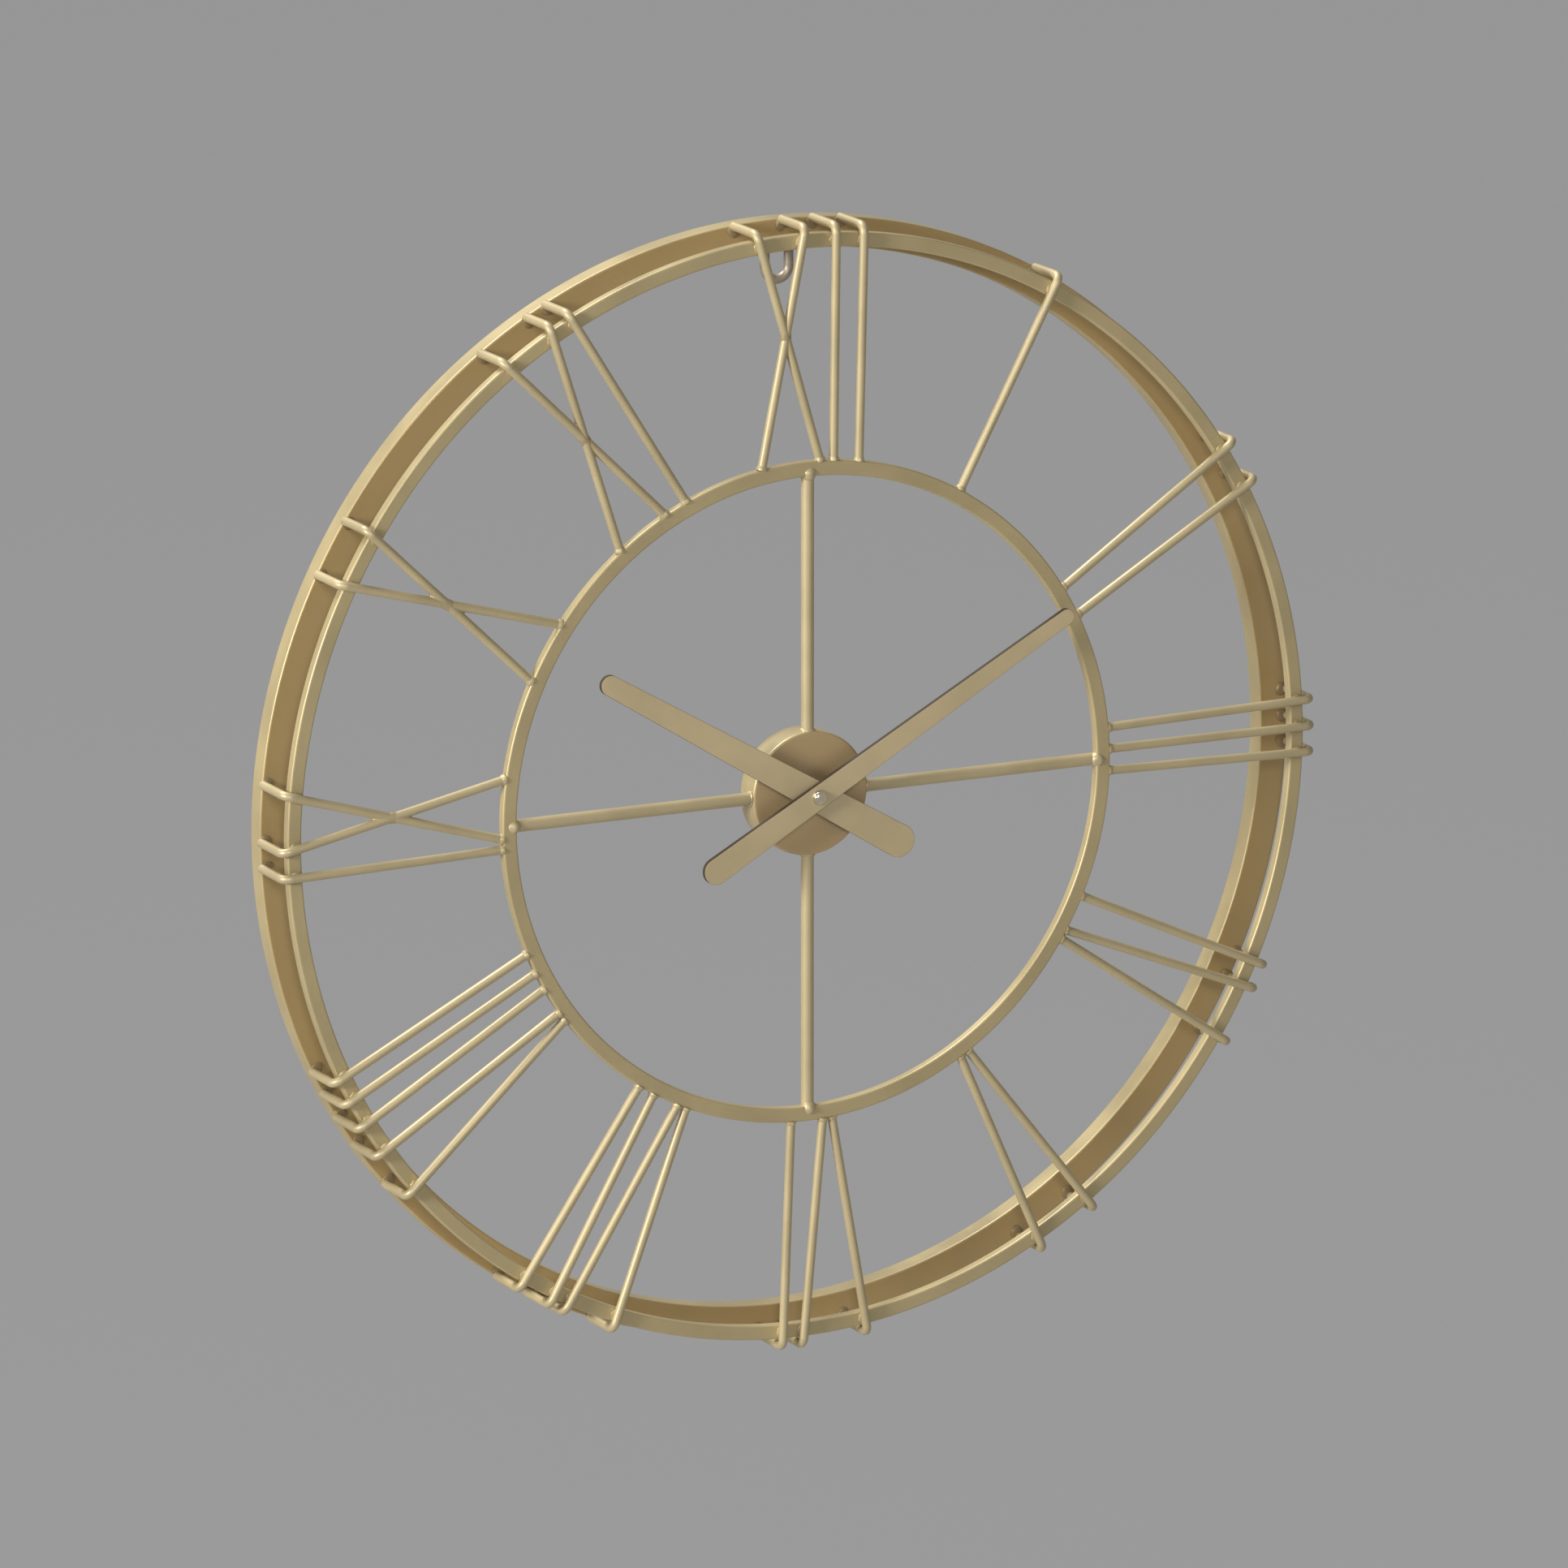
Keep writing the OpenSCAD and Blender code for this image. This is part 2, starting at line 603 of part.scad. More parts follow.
module centre_wheel() color("Gold") dial() difference() {
  union() {
    toothed(centre_teeth, train_module, centre_wheel_front - train_t, centre_wheel_front,
      gap_at([0, 0], third_at, centre_teeth));
    rod(centre_hub_d, centre_wheel_front - train_t / 2 - centre_hub_t / 2,
      centre_wheel_front - train_t / 2 + centre_hub_t / 2);
  }
  rod(arbor_thin_d + 2 * running_gap, centre_wheel_front - centre_hub_t - cut_over,
    centre_wheel_front + centre_hub_t + cut_over);
}

module third_wheel() color("Gold") dial()
  train_wheel(third_at, third_teeth, third_wheel_front, centre_wheel_front + train_pinion_over,
    train_pinion_len, gap_at(third_at, seconds_at, third_teeth), tooth_at(third_at, [0, 0]));

module seconds_wheel() color("Ivory") dial()
  train_wheel(seconds_at, seconds_teeth, seconds_wheel_front, third_wheel_front + train_pinion_over,
    train_pinion_len, gap_at(seconds_at, intermediate_at, seconds_teeth), tooth_at(seconds_at, third_at));

module intermediate_wheel() color("Ivory") dial()
  train_wheel(intermediate_at, intermediate_teeth, intermediate_wheel_front,
    seconds_wheel_front + train_pinion_over, train_pinion_len,
    gap_at(intermediate_at, rotor_at, intermediate_teeth), tooth_at(intermediate_at, seconds_at));

module rotor() color("Ivory") dial() translate(rotor_at) {
  rod(magnet_d, magnet_front - magnet_t, magnet_front);
  toothed(pinion_teeth, train_module, intermediate_wheel_front - train_t - train_pinion_over,
    intermediate_wheel_front + train_pinion_over, tooth_at(rotor_at, intermediate_at));
  rod(pivot_d, case_back_face + seat_gap, case_inner_face - seat_gap);
}

// Arbor of the minute hand, with the cannon pinion on it
module minute_arbor() color("Silver") dial() {
  rod(pivot_d, case_back_face + seat_gap, centre_wheel_front);
  rod(arbor_thin_d, case_back_face + 2 * seat_gap + running_gap, minute_wheel_front);
  toothed(cannon_teeth, motion_module, minute_wheel_rear - pinion_over, minute_wheel_front + pinion_over,
    tooth_at([0, 0], minute_wheel_at));
  rod(arbor_d, minute_wheel_front, minute_hand_front + cap_nut_h / 2);
}

module minute_wheel() color("Ivory") dial() translate(minute_wheel_at) difference() {
  union() {
    toothed(minute_wheel_teeth, motion_module, minute_wheel_rear, minute_wheel_front,
      gap_at(minute_wheel_at, [0, 0], minute_wheel_teeth));
    toothed(minute_pinion_teeth, motion_module, minute_wheel_front - wheel_t / 2, hour_wheel_front + pinion_over,
      tooth_at(minute_wheel_at, [0, 0]));
  }
  rod(minute_post_d + 2 * running_gap, minute_wheel_rear - cut_over, hour_wheel_front + cut_over);
}

module hour_wheel() color("Ivory") dial() difference() {
  union() {
    toothed(hour_wheel_teeth, motion_module, hour_wheel_rear, hour_wheel_front,
      gap_at([0, 0], minute_wheel_at, hour_wheel_teeth));
    rod(pipe_d, hour_wheel_rear, hour_hand_front);
  }
  rod(arbor_d + 2 * running_gap, hour_wheel_rear - cut_over, hour_hand_front + cut_over);
}

module set_knob() color("Ivory") dial() translate(knob_at) {
  toothed(knob_teeth, motion_module, minute_wheel_rear - pinion_over, minute_wheel_front + pinion_over,
    tooth_at(knob_at, minute_wheel_at));
  rod(knob_stem_d, case_rear - seat_gap - knob_t / 2, minute_wheel_front);
  rod(minute_post_d, minute_wheel_rear, case_inner_face - seat_gap);
  difference() {
    rod(knob_d, case_rear - seat_gap - knob_t, case_rear - seat_gap);
    for (i = [1 : knob_grooves]) rotate([0, 0, 360 * i / knob_grooves]) translate([knob_d / 2, 0, 0])
      rod(2 * knob_groove_r, case_rear - seat_gap - knob_t - cut_over, case_rear);
  }
}

back_ring();
front_ring();
inner_ring();
numeral(1, bar_angles_1);  // numeral_1
numeral(2, bar_angles_2);  // numeral_2
numeral(3, bar_angles_3);  // numeral_3
numeral(4, bar_angles_4);  // numeral_4
numeral(5, bar_angles_5);  // numeral_5
numeral(6, bar_angles_6);  // numeral_6
numeral(7, bar_angles_7);  // numeral_7
numeral(8, bar_angles_8);  // numeral_8
numeral(9, bar_angles_9, 1);  // numeral_9
numeral(10, bar_angles_10, 0);  // numeral_10
numeral(11, bar_angles_11, 0);  // numeral_11
numeral(12, bar_angles_12, 0);  // numeral_12
spoke(0);  // spoke_top
spoke(90);  // spoke_right
spoke(180);  // spoke_bottom
spoke(270);  // spoke_left
hub_can();
hanger_loop();
case_front();
case_back();
threaded_bush();
rubber_washer();
fixing_nut();
stator();
coil_bobbin();
coil_winding();
circuit_board();
battery();
contact_positive();
contact_negative();
rotor();
intermediate_wheel();
seconds_wheel();
third_wheel();
centre_wheel();
minute_arbor();
minute_wheel();
hour_wheel();
set_knob();
hour_hand();
minute_hand();
cap_nut();
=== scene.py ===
from math import cos, pi, radians, sin
import bmesh
import bpy
import numpy as np
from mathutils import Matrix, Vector


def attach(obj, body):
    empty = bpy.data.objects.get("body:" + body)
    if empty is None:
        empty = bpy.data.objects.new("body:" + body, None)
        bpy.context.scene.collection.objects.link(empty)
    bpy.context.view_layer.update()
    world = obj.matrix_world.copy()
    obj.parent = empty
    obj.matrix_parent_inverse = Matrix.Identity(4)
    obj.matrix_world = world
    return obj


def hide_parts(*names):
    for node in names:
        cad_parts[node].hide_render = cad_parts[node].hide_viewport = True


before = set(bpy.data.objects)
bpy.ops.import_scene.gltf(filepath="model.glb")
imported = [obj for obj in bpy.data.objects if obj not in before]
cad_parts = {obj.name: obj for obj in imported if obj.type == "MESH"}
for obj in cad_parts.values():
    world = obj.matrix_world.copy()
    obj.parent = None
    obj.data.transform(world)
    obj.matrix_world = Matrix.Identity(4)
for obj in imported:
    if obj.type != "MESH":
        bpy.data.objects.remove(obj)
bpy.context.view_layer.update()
print("frame loaded:", len(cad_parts), "nodes")

mm = 0.001
wallWards = np.array([0.0, 1.0, 0.0])
meshing = {"mergeDistance": 2e-6, "zeroLength": 1e-7, "sharpAngle": 42}

# Sizes that several pieces share, in mm, as the CAD has them; "front", "rear" and "plane" are distances from the wall
clock = {
    "innerRingR": 205.0, "innerRingW": 9.4, "innerRingFront": 49.5, "innerRingDepth": 6.5,
    "frontRingR": 342.8, "frontRingW": 9.0, "frontRingFront": 44.0, "frontRingDepth": 7.0,
    "backRingR": 347.5, "backRingW": 18.6, "backRingDepth": 14.0,
    "barR": 2.75, "barPlane": 47.05, "barCornerR": 347.2,
    "canR": 38.5, "canFront": 49.5, "canRear": 31.5,
}


# A point at radius r and clock angle a, out from the wall: x = r sin a, y = -out, z = r cos a
def onDial(r, angle, out):
    r, angle, out = np.broadcast_arrays(np.asarray(r, float), np.radians(angle), np.asarray(out, float))
    return np.stack([r * np.sin(angle), -out, r * np.cos(angle)], -1)


# A vector divided by its length
def unit(vector):
    return vector / np.linalg.norm(vector)


# The four corners of every cell of a grid; a closed grid joins its last row or column to its first
def gridFaces(rows, cols, closeRows, closeCols, first):
    i = np.arange(rows if closeRows else rows - 1)[:, None]
    j = np.arange(cols if closeCols else cols - 1)[None, :]
    up, along = (i + 1) % rows, (j + 1) % cols
    return np.stack([i * cols + j, up * cols + j, up * cols + along, i * cols + along], -1).reshape(-1, 4) + first


# One mesh from grids of (points, closeRows, closeCols, tone); tone 0 is plain paint and 1 the darker edge color, which
# on the back ring's face, the can's front and the bars' leg and crossing welds is painted shade
def makePiece(name, grids, sharpAngle=meshing["sharpAngle"]):
    points, faces, tones, first = [], [], [], 0
    for grid, closeRows, closeCols, tone in grids:
        rows, cols = grid.shape[:2]
        points.append(grid.reshape(-1, 3) * mm)
        faces.append(gridFaces(rows, cols, closeRows, closeCols, first))
        tones.append(np.broadcast_to(tone, (rows, cols)).reshape(-1))
        first += rows * cols
    mesh = bpy.data.meshes.new(name)
    mesh.from_pydata(np.concatenate(points).tolist(), [], np.concatenate(faces).tolist())
    edgeAndShadeTone = mesh.attributes.new("edgeAndShadeTone", "FLOAT", "POINT")
    edgeAndShadeTone.data.foreach_set("value", np.concatenate(tones).astype(np.float32))
    work = bmesh.new()
    work.from_mesh(mesh)
    bmesh.ops.remove_doubles(work, verts=work.verts, dist=meshing["mergeDistance"])
    bmesh.ops.dissolve_degenerate(work, edges=work.edges, dist=meshing["zeroLength"])
    bmesh.ops.recalc_face_normals(work, faces=work.faces)
    work.to_mesh(mesh)
    work.free()
    mesh.polygons.foreach_set("use_smooth", np.ones(len(mesh.polygons), bool))
    mesh.set_sharp_from_angle(angle=radians(sharpAngle))
    piece = bpy.data.objects.new(name, mesh)
    bpy.context.scene.collection.objects.link(piece)
    return piece


# Gives a piece its material and the body that it rides on, and hides the node that it stands for
def fit(piece, body, material, node):
    piece.data.materials.append(material)
    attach(piece, body)
    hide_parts(node)
    return piece


# A closed profile of (radius, out) carried round the hands' axis
def turned(profile, steps, tone=0.0):
    angles = np.arange(steps) * 360.0 / steps
    return (onDial(profile[None, :, 0], angles[:, None], profile[None, :, 1]), True, True, tone)


# 1 on a front face and falling to 0 behind it: the height over it divided by fade, plus lead, held from 0 to 1; it
# marks the front faces that get painted shade
def faceTone(out, front, fade, lead):
    return np.clip((out - front) / fade + lead, 0, 1)


# A w x h rectangle whose corners are quarter circles of radius r, with a point on each flat just before and after
def roundedBox(w, h, r, steps, hold):
    turn = np.linspace(0, pi / 2, steps)
    outline = []
    for x, y, start in ((w - r, h - r, 0), (r, h - r, pi / 2), (r, r, pi), (w - r, r, 3 * pi / 2)):
        arc = np.stack([x + r * np.cos(turn + start), y + r * np.sin(turn + start)], -1)
        before = arc[0] - hold * np.array([-sin(start), cos(start)])
        after = arc[-1] + hold * np.array([-cos(start), -sin(start)])
        outline.append(np.concatenate([[before], arc, [after]]))
    return np.concatenate(outline)


# Distances along a rod and its radius there: flat ends, quarter-circle rims, and inner stations between
def easedEnds(length, radius, rim, inner):
    turn = np.linspace(0, pi / 2, 6)
    capS, capR = rim * (1 - np.cos(turn)), radius - rim + rim * np.sin(turn)
    s = np.concatenate([[0, 0], capS[1:], inner, length - capS[::-1][:-1], [length, length]])
    r = np.concatenate([[0, radius - rim], capR[1:], np.full(len(inner), radius), capR[::-1][:-1], [radius - rim, 0]])
    return s, r


# Circles of the given radii round a path that lies in the plane square to flat
def sweep(centres, tangents, flat, radii, sides):
    phi = np.arange(sides) * 2 * pi / sides
    across = np.cross(tangents, flat)
    radii = radii if radii.ndim == 2 else radii[:, None]
    ring = np.cos(phi)[None, :, None] * flat[None, None, :] + np.sin(phi)[None, :, None] * across[:, None, :]
    return (centres[:, None, :] + radii[..., None] * ring, False, True, 0.0)


beadGrid = {"stations": 15, "sides": 20}


# A weld bead: an ellipsoid of half sizes (along, flat, across), its skin moved in and out by sines of both angles;
# lump is how much, seed where
def bead(centre, along, flat, seed, half, lump, tone=0.0):
    t = np.linspace(-pi / 2, pi / 2, beadGrid["stations"])[:, None]
    phi = np.arange(beadGrid["sides"])[None, :] * 2 * pi / beadGrid["sides"]
    along, flat = unit(along), unit(flat)
    across = np.cross(along, flat)
    wave = np.cos(t) * (1 + lump * np.cos(t) * (np.sin(3 * phi + 4 * t + seed) + 0.6 * np.sin(7 * t + 2.1 * seed)))
    grid = centre + half[0] * np.sin(t)[..., None] * along + half[1] * (wave * np.cos(phi))[..., None] * flat \
        + half[2] * (wave * np.sin(phi))[..., None] * across
    return (grid, False, True, tone)


# A material whose shader starts from plain values
def newMaterial(name, color, metallic, roughness):
    material = bpy.data.materials.new(name)
    material.use_nodes = True
    shader = material.node_tree.nodes["Principled BSDF"]
    shader.inputs["Base Color"].default_value = (*color, 1)
    shader.inputs["Metallic"].default_value = metallic
    shader.inputs["Roughness"].default_value = roughness
    return material, material.node_tree, shader


# The place in the clock's own frame, in metres
def coordinates(tree):
    return tree.nodes.new("ShaderNodeTexCoord").outputs["Object"]


# Fractal noise from 0 to 1; a larger scale is finer
def noise(tree, coords, scale, detail, rough=0.55):
    node = tree.nodes.new("ShaderNodeTexNoise")
    node.inputs["Scale"].default_value = scale
    node.inputs["Detail"].default_value = detail
    node.inputs["Roughness"].default_value = rough
    tree.links.new(coords, node.inputs["Vector"])
    return node.outputs["Fac"]


# Moves a value from one range to another
def spread(tree, value, low, high, fromLow=0.35, fromHigh=0.65):
    node = tree.nodes.new("ShaderNodeMapRange")
    for socket, number in (("From Min", fromLow), ("From Max", fromHigh), ("To Min", low), ("To Max", high)):
        node.inputs[socket].default_value = number
    tree.links.new(value, node.inputs["Value"])
    return node.outputs["Result"]


# The first color where factor is 0 and the second where it is 1
def blendColors(tree, factor, first, second):
    node = tree.nodes.new("ShaderNodeMix")
    node.data_type = "RGBA"
    tree.links.new(factor, node.inputs["Factor"])
    for socket, value in (("A", first), ("B", second)):
        place = [s for s in node.inputs if s.name == socket and s.type == "RGBA"][0]
        if isinstance(value, tuple):
            place.default_value = (*value, 1)
        else:
            tree.links.new(value, place)
    return [s for s in node.outputs if s.type == "RGBA"][0]


# One sum on two numbers or outputs
def calculate(tree, operation, first, second=None):
    node = tree.nodes.new("ShaderNodeMath")
    node.operation = operation
    for socket, value in zip(node.inputs, (first, second)):
        if isinstance(value, (int, float)):
            socket.default_value = value
        elif value is not None:
            tree.links.new(value, socket)
    return node.outputs[0]


# A bump from a height of 0 to 1, by strength and depth in metres, laid over an earlier one
def bump(tree, shader, height, strength, distance, after=None):
    node = tree.nodes.new("ShaderNodeBump")
    node.inputs["Strength"].default_value = strength
    node.inputs["Distance"].default_value = distance
    tree.links.new(height, node.inputs["Height"])
    if after is not None:
        tree.links.new(after, node.inputs["Normal"])
    tree.links.new(node.outputs["Normal"], shader.inputs["Normal"])
    return node.outputs["Normal"]


# A color times a number that runs from low to high with value
def scaled(tree, color, low, high, value):
    return blendColors(tree, value, tuple(c * low for c in color), tuple(min(1.0, c * high) for c in color))


# In every finish a scale is per metre, "tone" multiplies the color, and a bump is its strength and its depth in metres
paint = {
    # backFaceShade is painted shade: the back ring's front face is browner where the front ring and the bars shade it
    "ring": (0.46, 0.37, 0.195), "backFaceShade": (0.43, 0.30, 0.13), "bar": (0.47, 0.385, 0.22),
    # can is painted shade: a darker brown on the can's front, against the lighter ring color of its lit wall
    "can": (0.485, 0.345, 0.175), "hand": (0.56, 0.45, 0.26), "handEdge": (0.05, 0.036, 0.022),
    # weld is painted shade on the bars' leg welds and crossing welds, a dark brown for the shade where the parts meet
    "weld": (0.19, 0.125, 0.052),
    "metallic": 0.35, "roughness": 0.42, "barRoughness": 0.5, "handRoughness": 0.48, "glossChange": (-0.05, 0.06),
    "coat": 0.18, "coatRoughness": 0.3, "dullRoughness": 0.9, "dullShare": 0.1,
    "cloudScale": 22.0, "tone": (0.94, 1.06), "peelScale": 420.0, "peelBump": (0.05, 0.0002),
    "flakeScale": 2600.0, "flakeGain": 1.14, "flakeShare": 0.4, "flakeFrom": (0.5, 0.72), "flakeBump": (0.015, 0.00005),
}


# Satin metallic paint: fine flakes, slow clouds of tone, orange peel, and edgeAndShadeColor where the mesh's
# edgeAndShadeTone is 1, which is the hands' dark edge and painted shade on the back ring's face, the can's front and
# the bars' leg and crossing welds;
# a dull edge loses its gloss there as well
def champagnePaint(name, color, edgeAndShadeColor, roughness=paint["roughness"], dullEdge=False):
    material, tree, shader = newMaterial(name, color, paint["metallic"], roughness)
    coords = coordinates(tree)
    flakes = noise(tree, coords, paint["flakeScale"], 2, 0.7)
    clouds = noise(tree, coords, paint["cloudScale"], 4, 0.5)
    peel = noise(tree, coords, paint["peelScale"], 2, 0.5)
    coat = scaled(tree, color, *paint["tone"], spread(tree, clouds, 0, 1))
    lit = tuple(min(1.0, c * paint["flakeGain"]) for c in color)
    coat = blendColors(tree, spread(tree, flakes, 0, paint["flakeShare"], *paint["flakeFrom"]), coat, lit)
    edge = tree.nodes.new("ShaderNodeAttribute")
    edge.attribute_name = "edgeAndShadeTone"
    tone = edge.outputs["Fac"]
    tree.links.new(blendColors(tree, tone, coat, edgeAndShadeColor), shader.inputs["Base Color"])
    gloss = spread(tree, clouds, *(roughness + change for change in paint["glossChange"]))
    shader.inputs["Coat Weight"].default_value = paint["coat"]
    shader.inputs["Coat Roughness"].default_value = paint["coatRoughness"]
    if dullEdge:
        gloss = calculate(tree, "MAXIMUM", gloss, calculate(tree, "MULTIPLY", tone, paint["dullRoughness"]))
        for socket, value in (("Metallic", paint["metallic"]), ("Coat Weight", paint["coat"])):
            tree.links.new(spread(tree, tone, value, paint["dullShare"] * value, 0, 1), shader.inputs[socket])
    tree.links.new(gloss, shader.inputs["Roughness"])
    first = bump(tree, shader, peel, *paint["peelBump"])
    bump(tree, shader, flakes, *paint["flakeBump"], first)
    return material


metal = {"smudgeScale": 160, "tone": (0.86, 1.08), "glossGain": (0.75, 1.4),
         "scratchScale": 3200, "scratchBump": (0.08, 0.00005), "lineBump": (0.12, 0.00008)}


# Bare metal: smudges and fine scratches; with lines, turning marks that follow the distance from the hands' axis
def bareMetal(name, color, roughness, lines=0.0, metallic=1.0):
    material, tree, shader = newMaterial(name, color, metallic, roughness)
    coords = coordinates(tree)
    smudge = noise(tree, coords, metal["smudgeScale"], 4)
    tree.links.new(scaled(tree, color, *metal["tone"], spread(tree, smudge, 0, 1)), shader.inputs["Base Color"])
    gloss = spread(tree, smudge, *(roughness * gain for gain in metal["glossGain"]))
    tree.links.new(gloss, shader.inputs["Roughness"])
    first = bump(tree, shader, noise(tree, coords, metal["scratchScale"], 2), *metal["scratchBump"])
    if lines:
        split = tree.nodes.new("ShaderNodeSeparateXYZ")
        tree.links.new(coords, split.inputs[0])
        squares = [calculate(tree, "POWER", split.outputs[axis], 2) for axis in ("X", "Z")]
        join = tree.nodes.new("ShaderNodeCombineXYZ")
        tree.links.new(calculate(tree, "SQRT", calculate(tree, "ADD", *squares)), join.inputs["X"])
        tree.links.new(split.outputs["Y"], join.inputs["Y"])
        bump(tree, shader, noise(tree, join.outputs[0], lines, 2), *metal["lineBump"], first)
    return material


moulding = {"cloudScale": 40, "tone": (0.88, 1.12), "glossChange": (-0.06, 0.08),
            "grainScale": 900.0, "grainStrength": 0.12, "grainDepth": 0.00012}


# Moulded plastic: spark-eroded grain, faint flow clouds and a little change of gloss
def mouldedPlastic(name, color, roughness, grain=moulding["grainScale"], strength=moulding["grainStrength"]):
    material, tree, shader = newMaterial(name, color, 0.0, roughness)
    coords = coordinates(tree)
    clouds = noise(tree, coords, moulding["cloudScale"], 4)
    tree.links.new(scaled(tree, color, *moulding["tone"], spread(tree, clouds, 0, 1)), shader.inputs["Base Color"])
    gloss = spread(tree, clouds, *(roughness + change for change in moulding["glossChange"]))
    tree.links.new(gloss, shader.inputs["Roughness"])
    bump(tree, shader, noise(tree, coords, grain, 3, 0.6), strength, moulding["grainDepth"])
    return material


winding = {"color": (0.62, 0.25, 0.11), "metallic": 0.85, "roughness": 0.3, "pitch": 0.00016, "distortion": 0.6,
           "tone": (0.45, 1.15), "bump": (0.5, 0.0001)}


# Enamelled wire in close turns along z, pitch metres apart: bands whose scale is 1 over pi times the pitch
def windingWire(name):
    color = winding["color"]
    material, tree, shader = newMaterial(name, color, winding["metallic"], winding["roughness"])
    wave = tree.nodes.new("ShaderNodeTexWave")
    wave.bands_direction = "Z"
    wave.inputs["Scale"].default_value = 1 / (pi * winding["pitch"])
    wave.inputs["Distortion"].default_value = winding["distortion"]
    tree.links.new(coordinates(tree), wave.inputs["Vector"])
    tree.links.new(scaled(tree, color, *winding["tone"], wave.outputs["Fac"]), shader.inputs["Base Color"])
    bump(tree, shader, wave.outputs["Fac"], *winding["bump"])
    return material


board = {"color": (0.04, 0.15, 0.07), "roughness": 0.35, "cellScale": 300, "border": (0.5, 0.56),
         "copperGain": 1.8, "copperLift": 0.02, "bump": (0.3, 0.00004)}


# Solder resist over copper, which fills angular cells up to their borders and shows through a little lighter
def boardResist(name):
    color = board["color"]
    material, tree, shader = newMaterial(name, color, 0.0, board["roughness"])
    cells = tree.nodes.new("ShaderNodeTexVoronoi")
    cells.distance = "MANHATTAN"
    cells.inputs["Scale"].default_value = board["cellScale"]
    tree.links.new(coordinates(tree), cells.inputs["Vector"])
    copper = spread(tree, cells.outputs["Distance"], 1, 0, *board["border"])
    overCopper = tuple(board["copperGain"] * c + board["copperLift"] for c in color)
    tree.links.new(blendColors(tree, copper, color, overCopper), shader.inputs["Base Color"])
    bump(tree, shader, copper, *board["bump"])
    return material


jacket = {"color": (0.06, 0.09, 0.16), "bandColor": (0.62, 0.50, 0.34), "bandFrom": 0.0125, "bandFade": 0.0003,
          "metallic": 0.3, "gloss": (0.2, 0.42), "scuffScale": 260, "tone": (0.85, 1.15), "bump": (0.04, 0.0001)}


# Battery jacket: a plain dark barrel, a metallic band above the height bandFrom, and scuffs in the gloss
def batteryJacket(name):
    color, bandFrom = jacket["color"], jacket["bandFrom"]
    material, tree, shader = newMaterial(name, color, jacket["metallic"], jacket["gloss"][0])
    coords = coordinates(tree)
    split = tree.nodes.new("ShaderNodeSeparateXYZ")
    tree.links.new(coords, split.inputs[0])
    band = spread(tree, split.outputs["Z"], 0, 1, bandFrom, bandFrom + jacket["bandFade"])
    scuff = noise(tree, coords, jacket["scuffScale"], 5, 0.7)
    base = scaled(tree, color, *jacket["tone"], spread(tree, scuff, 0, 1))
    tree.links.new(blendColors(tree, band, base, jacket["bandColor"]), shader.inputs["Base Color"])
    tree.links.new(spread(tree, scuff, *jacket["gloss"]), shader.inputs["Roughness"])
    bump(tree, shader, scuff, *jacket["bump"])
    return material


finishes = {
    "ring": champagnePaint("ringPaint", paint["ring"], paint["weld"]),
    # The back ring's front face takes painted shade in the darker backFaceShade brown
    "backRing": champagnePaint("backRingPaint", paint["ring"], paint["backFaceShade"]),
    "bar": champagnePaint("barPaint", paint["bar"], paint["weld"], paint["barRoughness"]),
    # The can's front takes painted shade in the darker can brown
    "can": champagnePaint("canPaint", paint["ring"], paint["can"]),
    "hand": champagnePaint("handPaint", paint["hand"], paint["handEdge"], paint["handRoughness"], True),
    # color and roughness, then for metal the scale of its turning marks, for plastic its grain's scale and strength
    "nut": bareMetal("capNutPlate", (0.86, 0.77, 0.58), 0.16, 2500),
    "hanger": bareMetal("hangerWire", (0.40, 0.34, 0.27), 0.42, metallic=0.6),
    "case": mouldedPlastic("casePlastic", (0.035, 0.035, 0.038), 0.5, 1100, 0.2),
    "rubber": mouldedPlastic("washerRubber", (0.022, 0.022, 0.022), 0.8, 500, 0.25),
    "brass": bareMetal("turnedBrass", (0.76, 0.56, 0.27), 0.26, 2200),
    "steel": bareMetal("brightSteel", (0.62, 0.62, 0.62), 0.24, 2600),
    "former": mouldedPlastic("formerPlastic", (0.72, 0.70, 0.62), 0.4),
    "wheel": mouldedPlastic("wheelPlastic", (0.80, 0.79, 0.74), 0.36, 1500, 0.06),
    "copper": windingWire("copperWinding"), "board": boardResist("boardResist"),
    "battery": batteryJacket("batteryJacket"),
}
nodeFinish = {  # a node that isn't named here has the bars' finish
    "ring": ("front_ring", "inner_ring"), "backRing": ("back_ring",), "can": ("hub_can",), "hanger": ("hanger_loop",),
    "hand": ("hour_hand", "minute_hand"), "nut": ("cap_nut",), "case": ("case_front", "case_back"),
    "rubber": ("rubber_washer",), "brass": ("threaded_bush", "fixing_nut", "third_wheel", "centre_wheel"),
    "steel": ("stator", "contact_positive", "contact_negative", "minute_arbor"), "former": ("coil_bobbin",),
    "copper": ("coil_winding",), "board": ("circuit_board",), "battery": ("battery",),
    "wheel": ("rotor", "intermediate_wheel", "seconds_wheel", "minute_wheel", "hour_wheel", "set_knob"),
}
finishOf = {node: finish for finish, group in nodeFinish.items() for node in group}
for nodeName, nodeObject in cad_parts.items():
    nodeObject.data.materials.clear()
    nodeObject.data.materials.append(finishes[finishOf.get(nodeName, "bar")])
print("finishes made:", len(finishes))

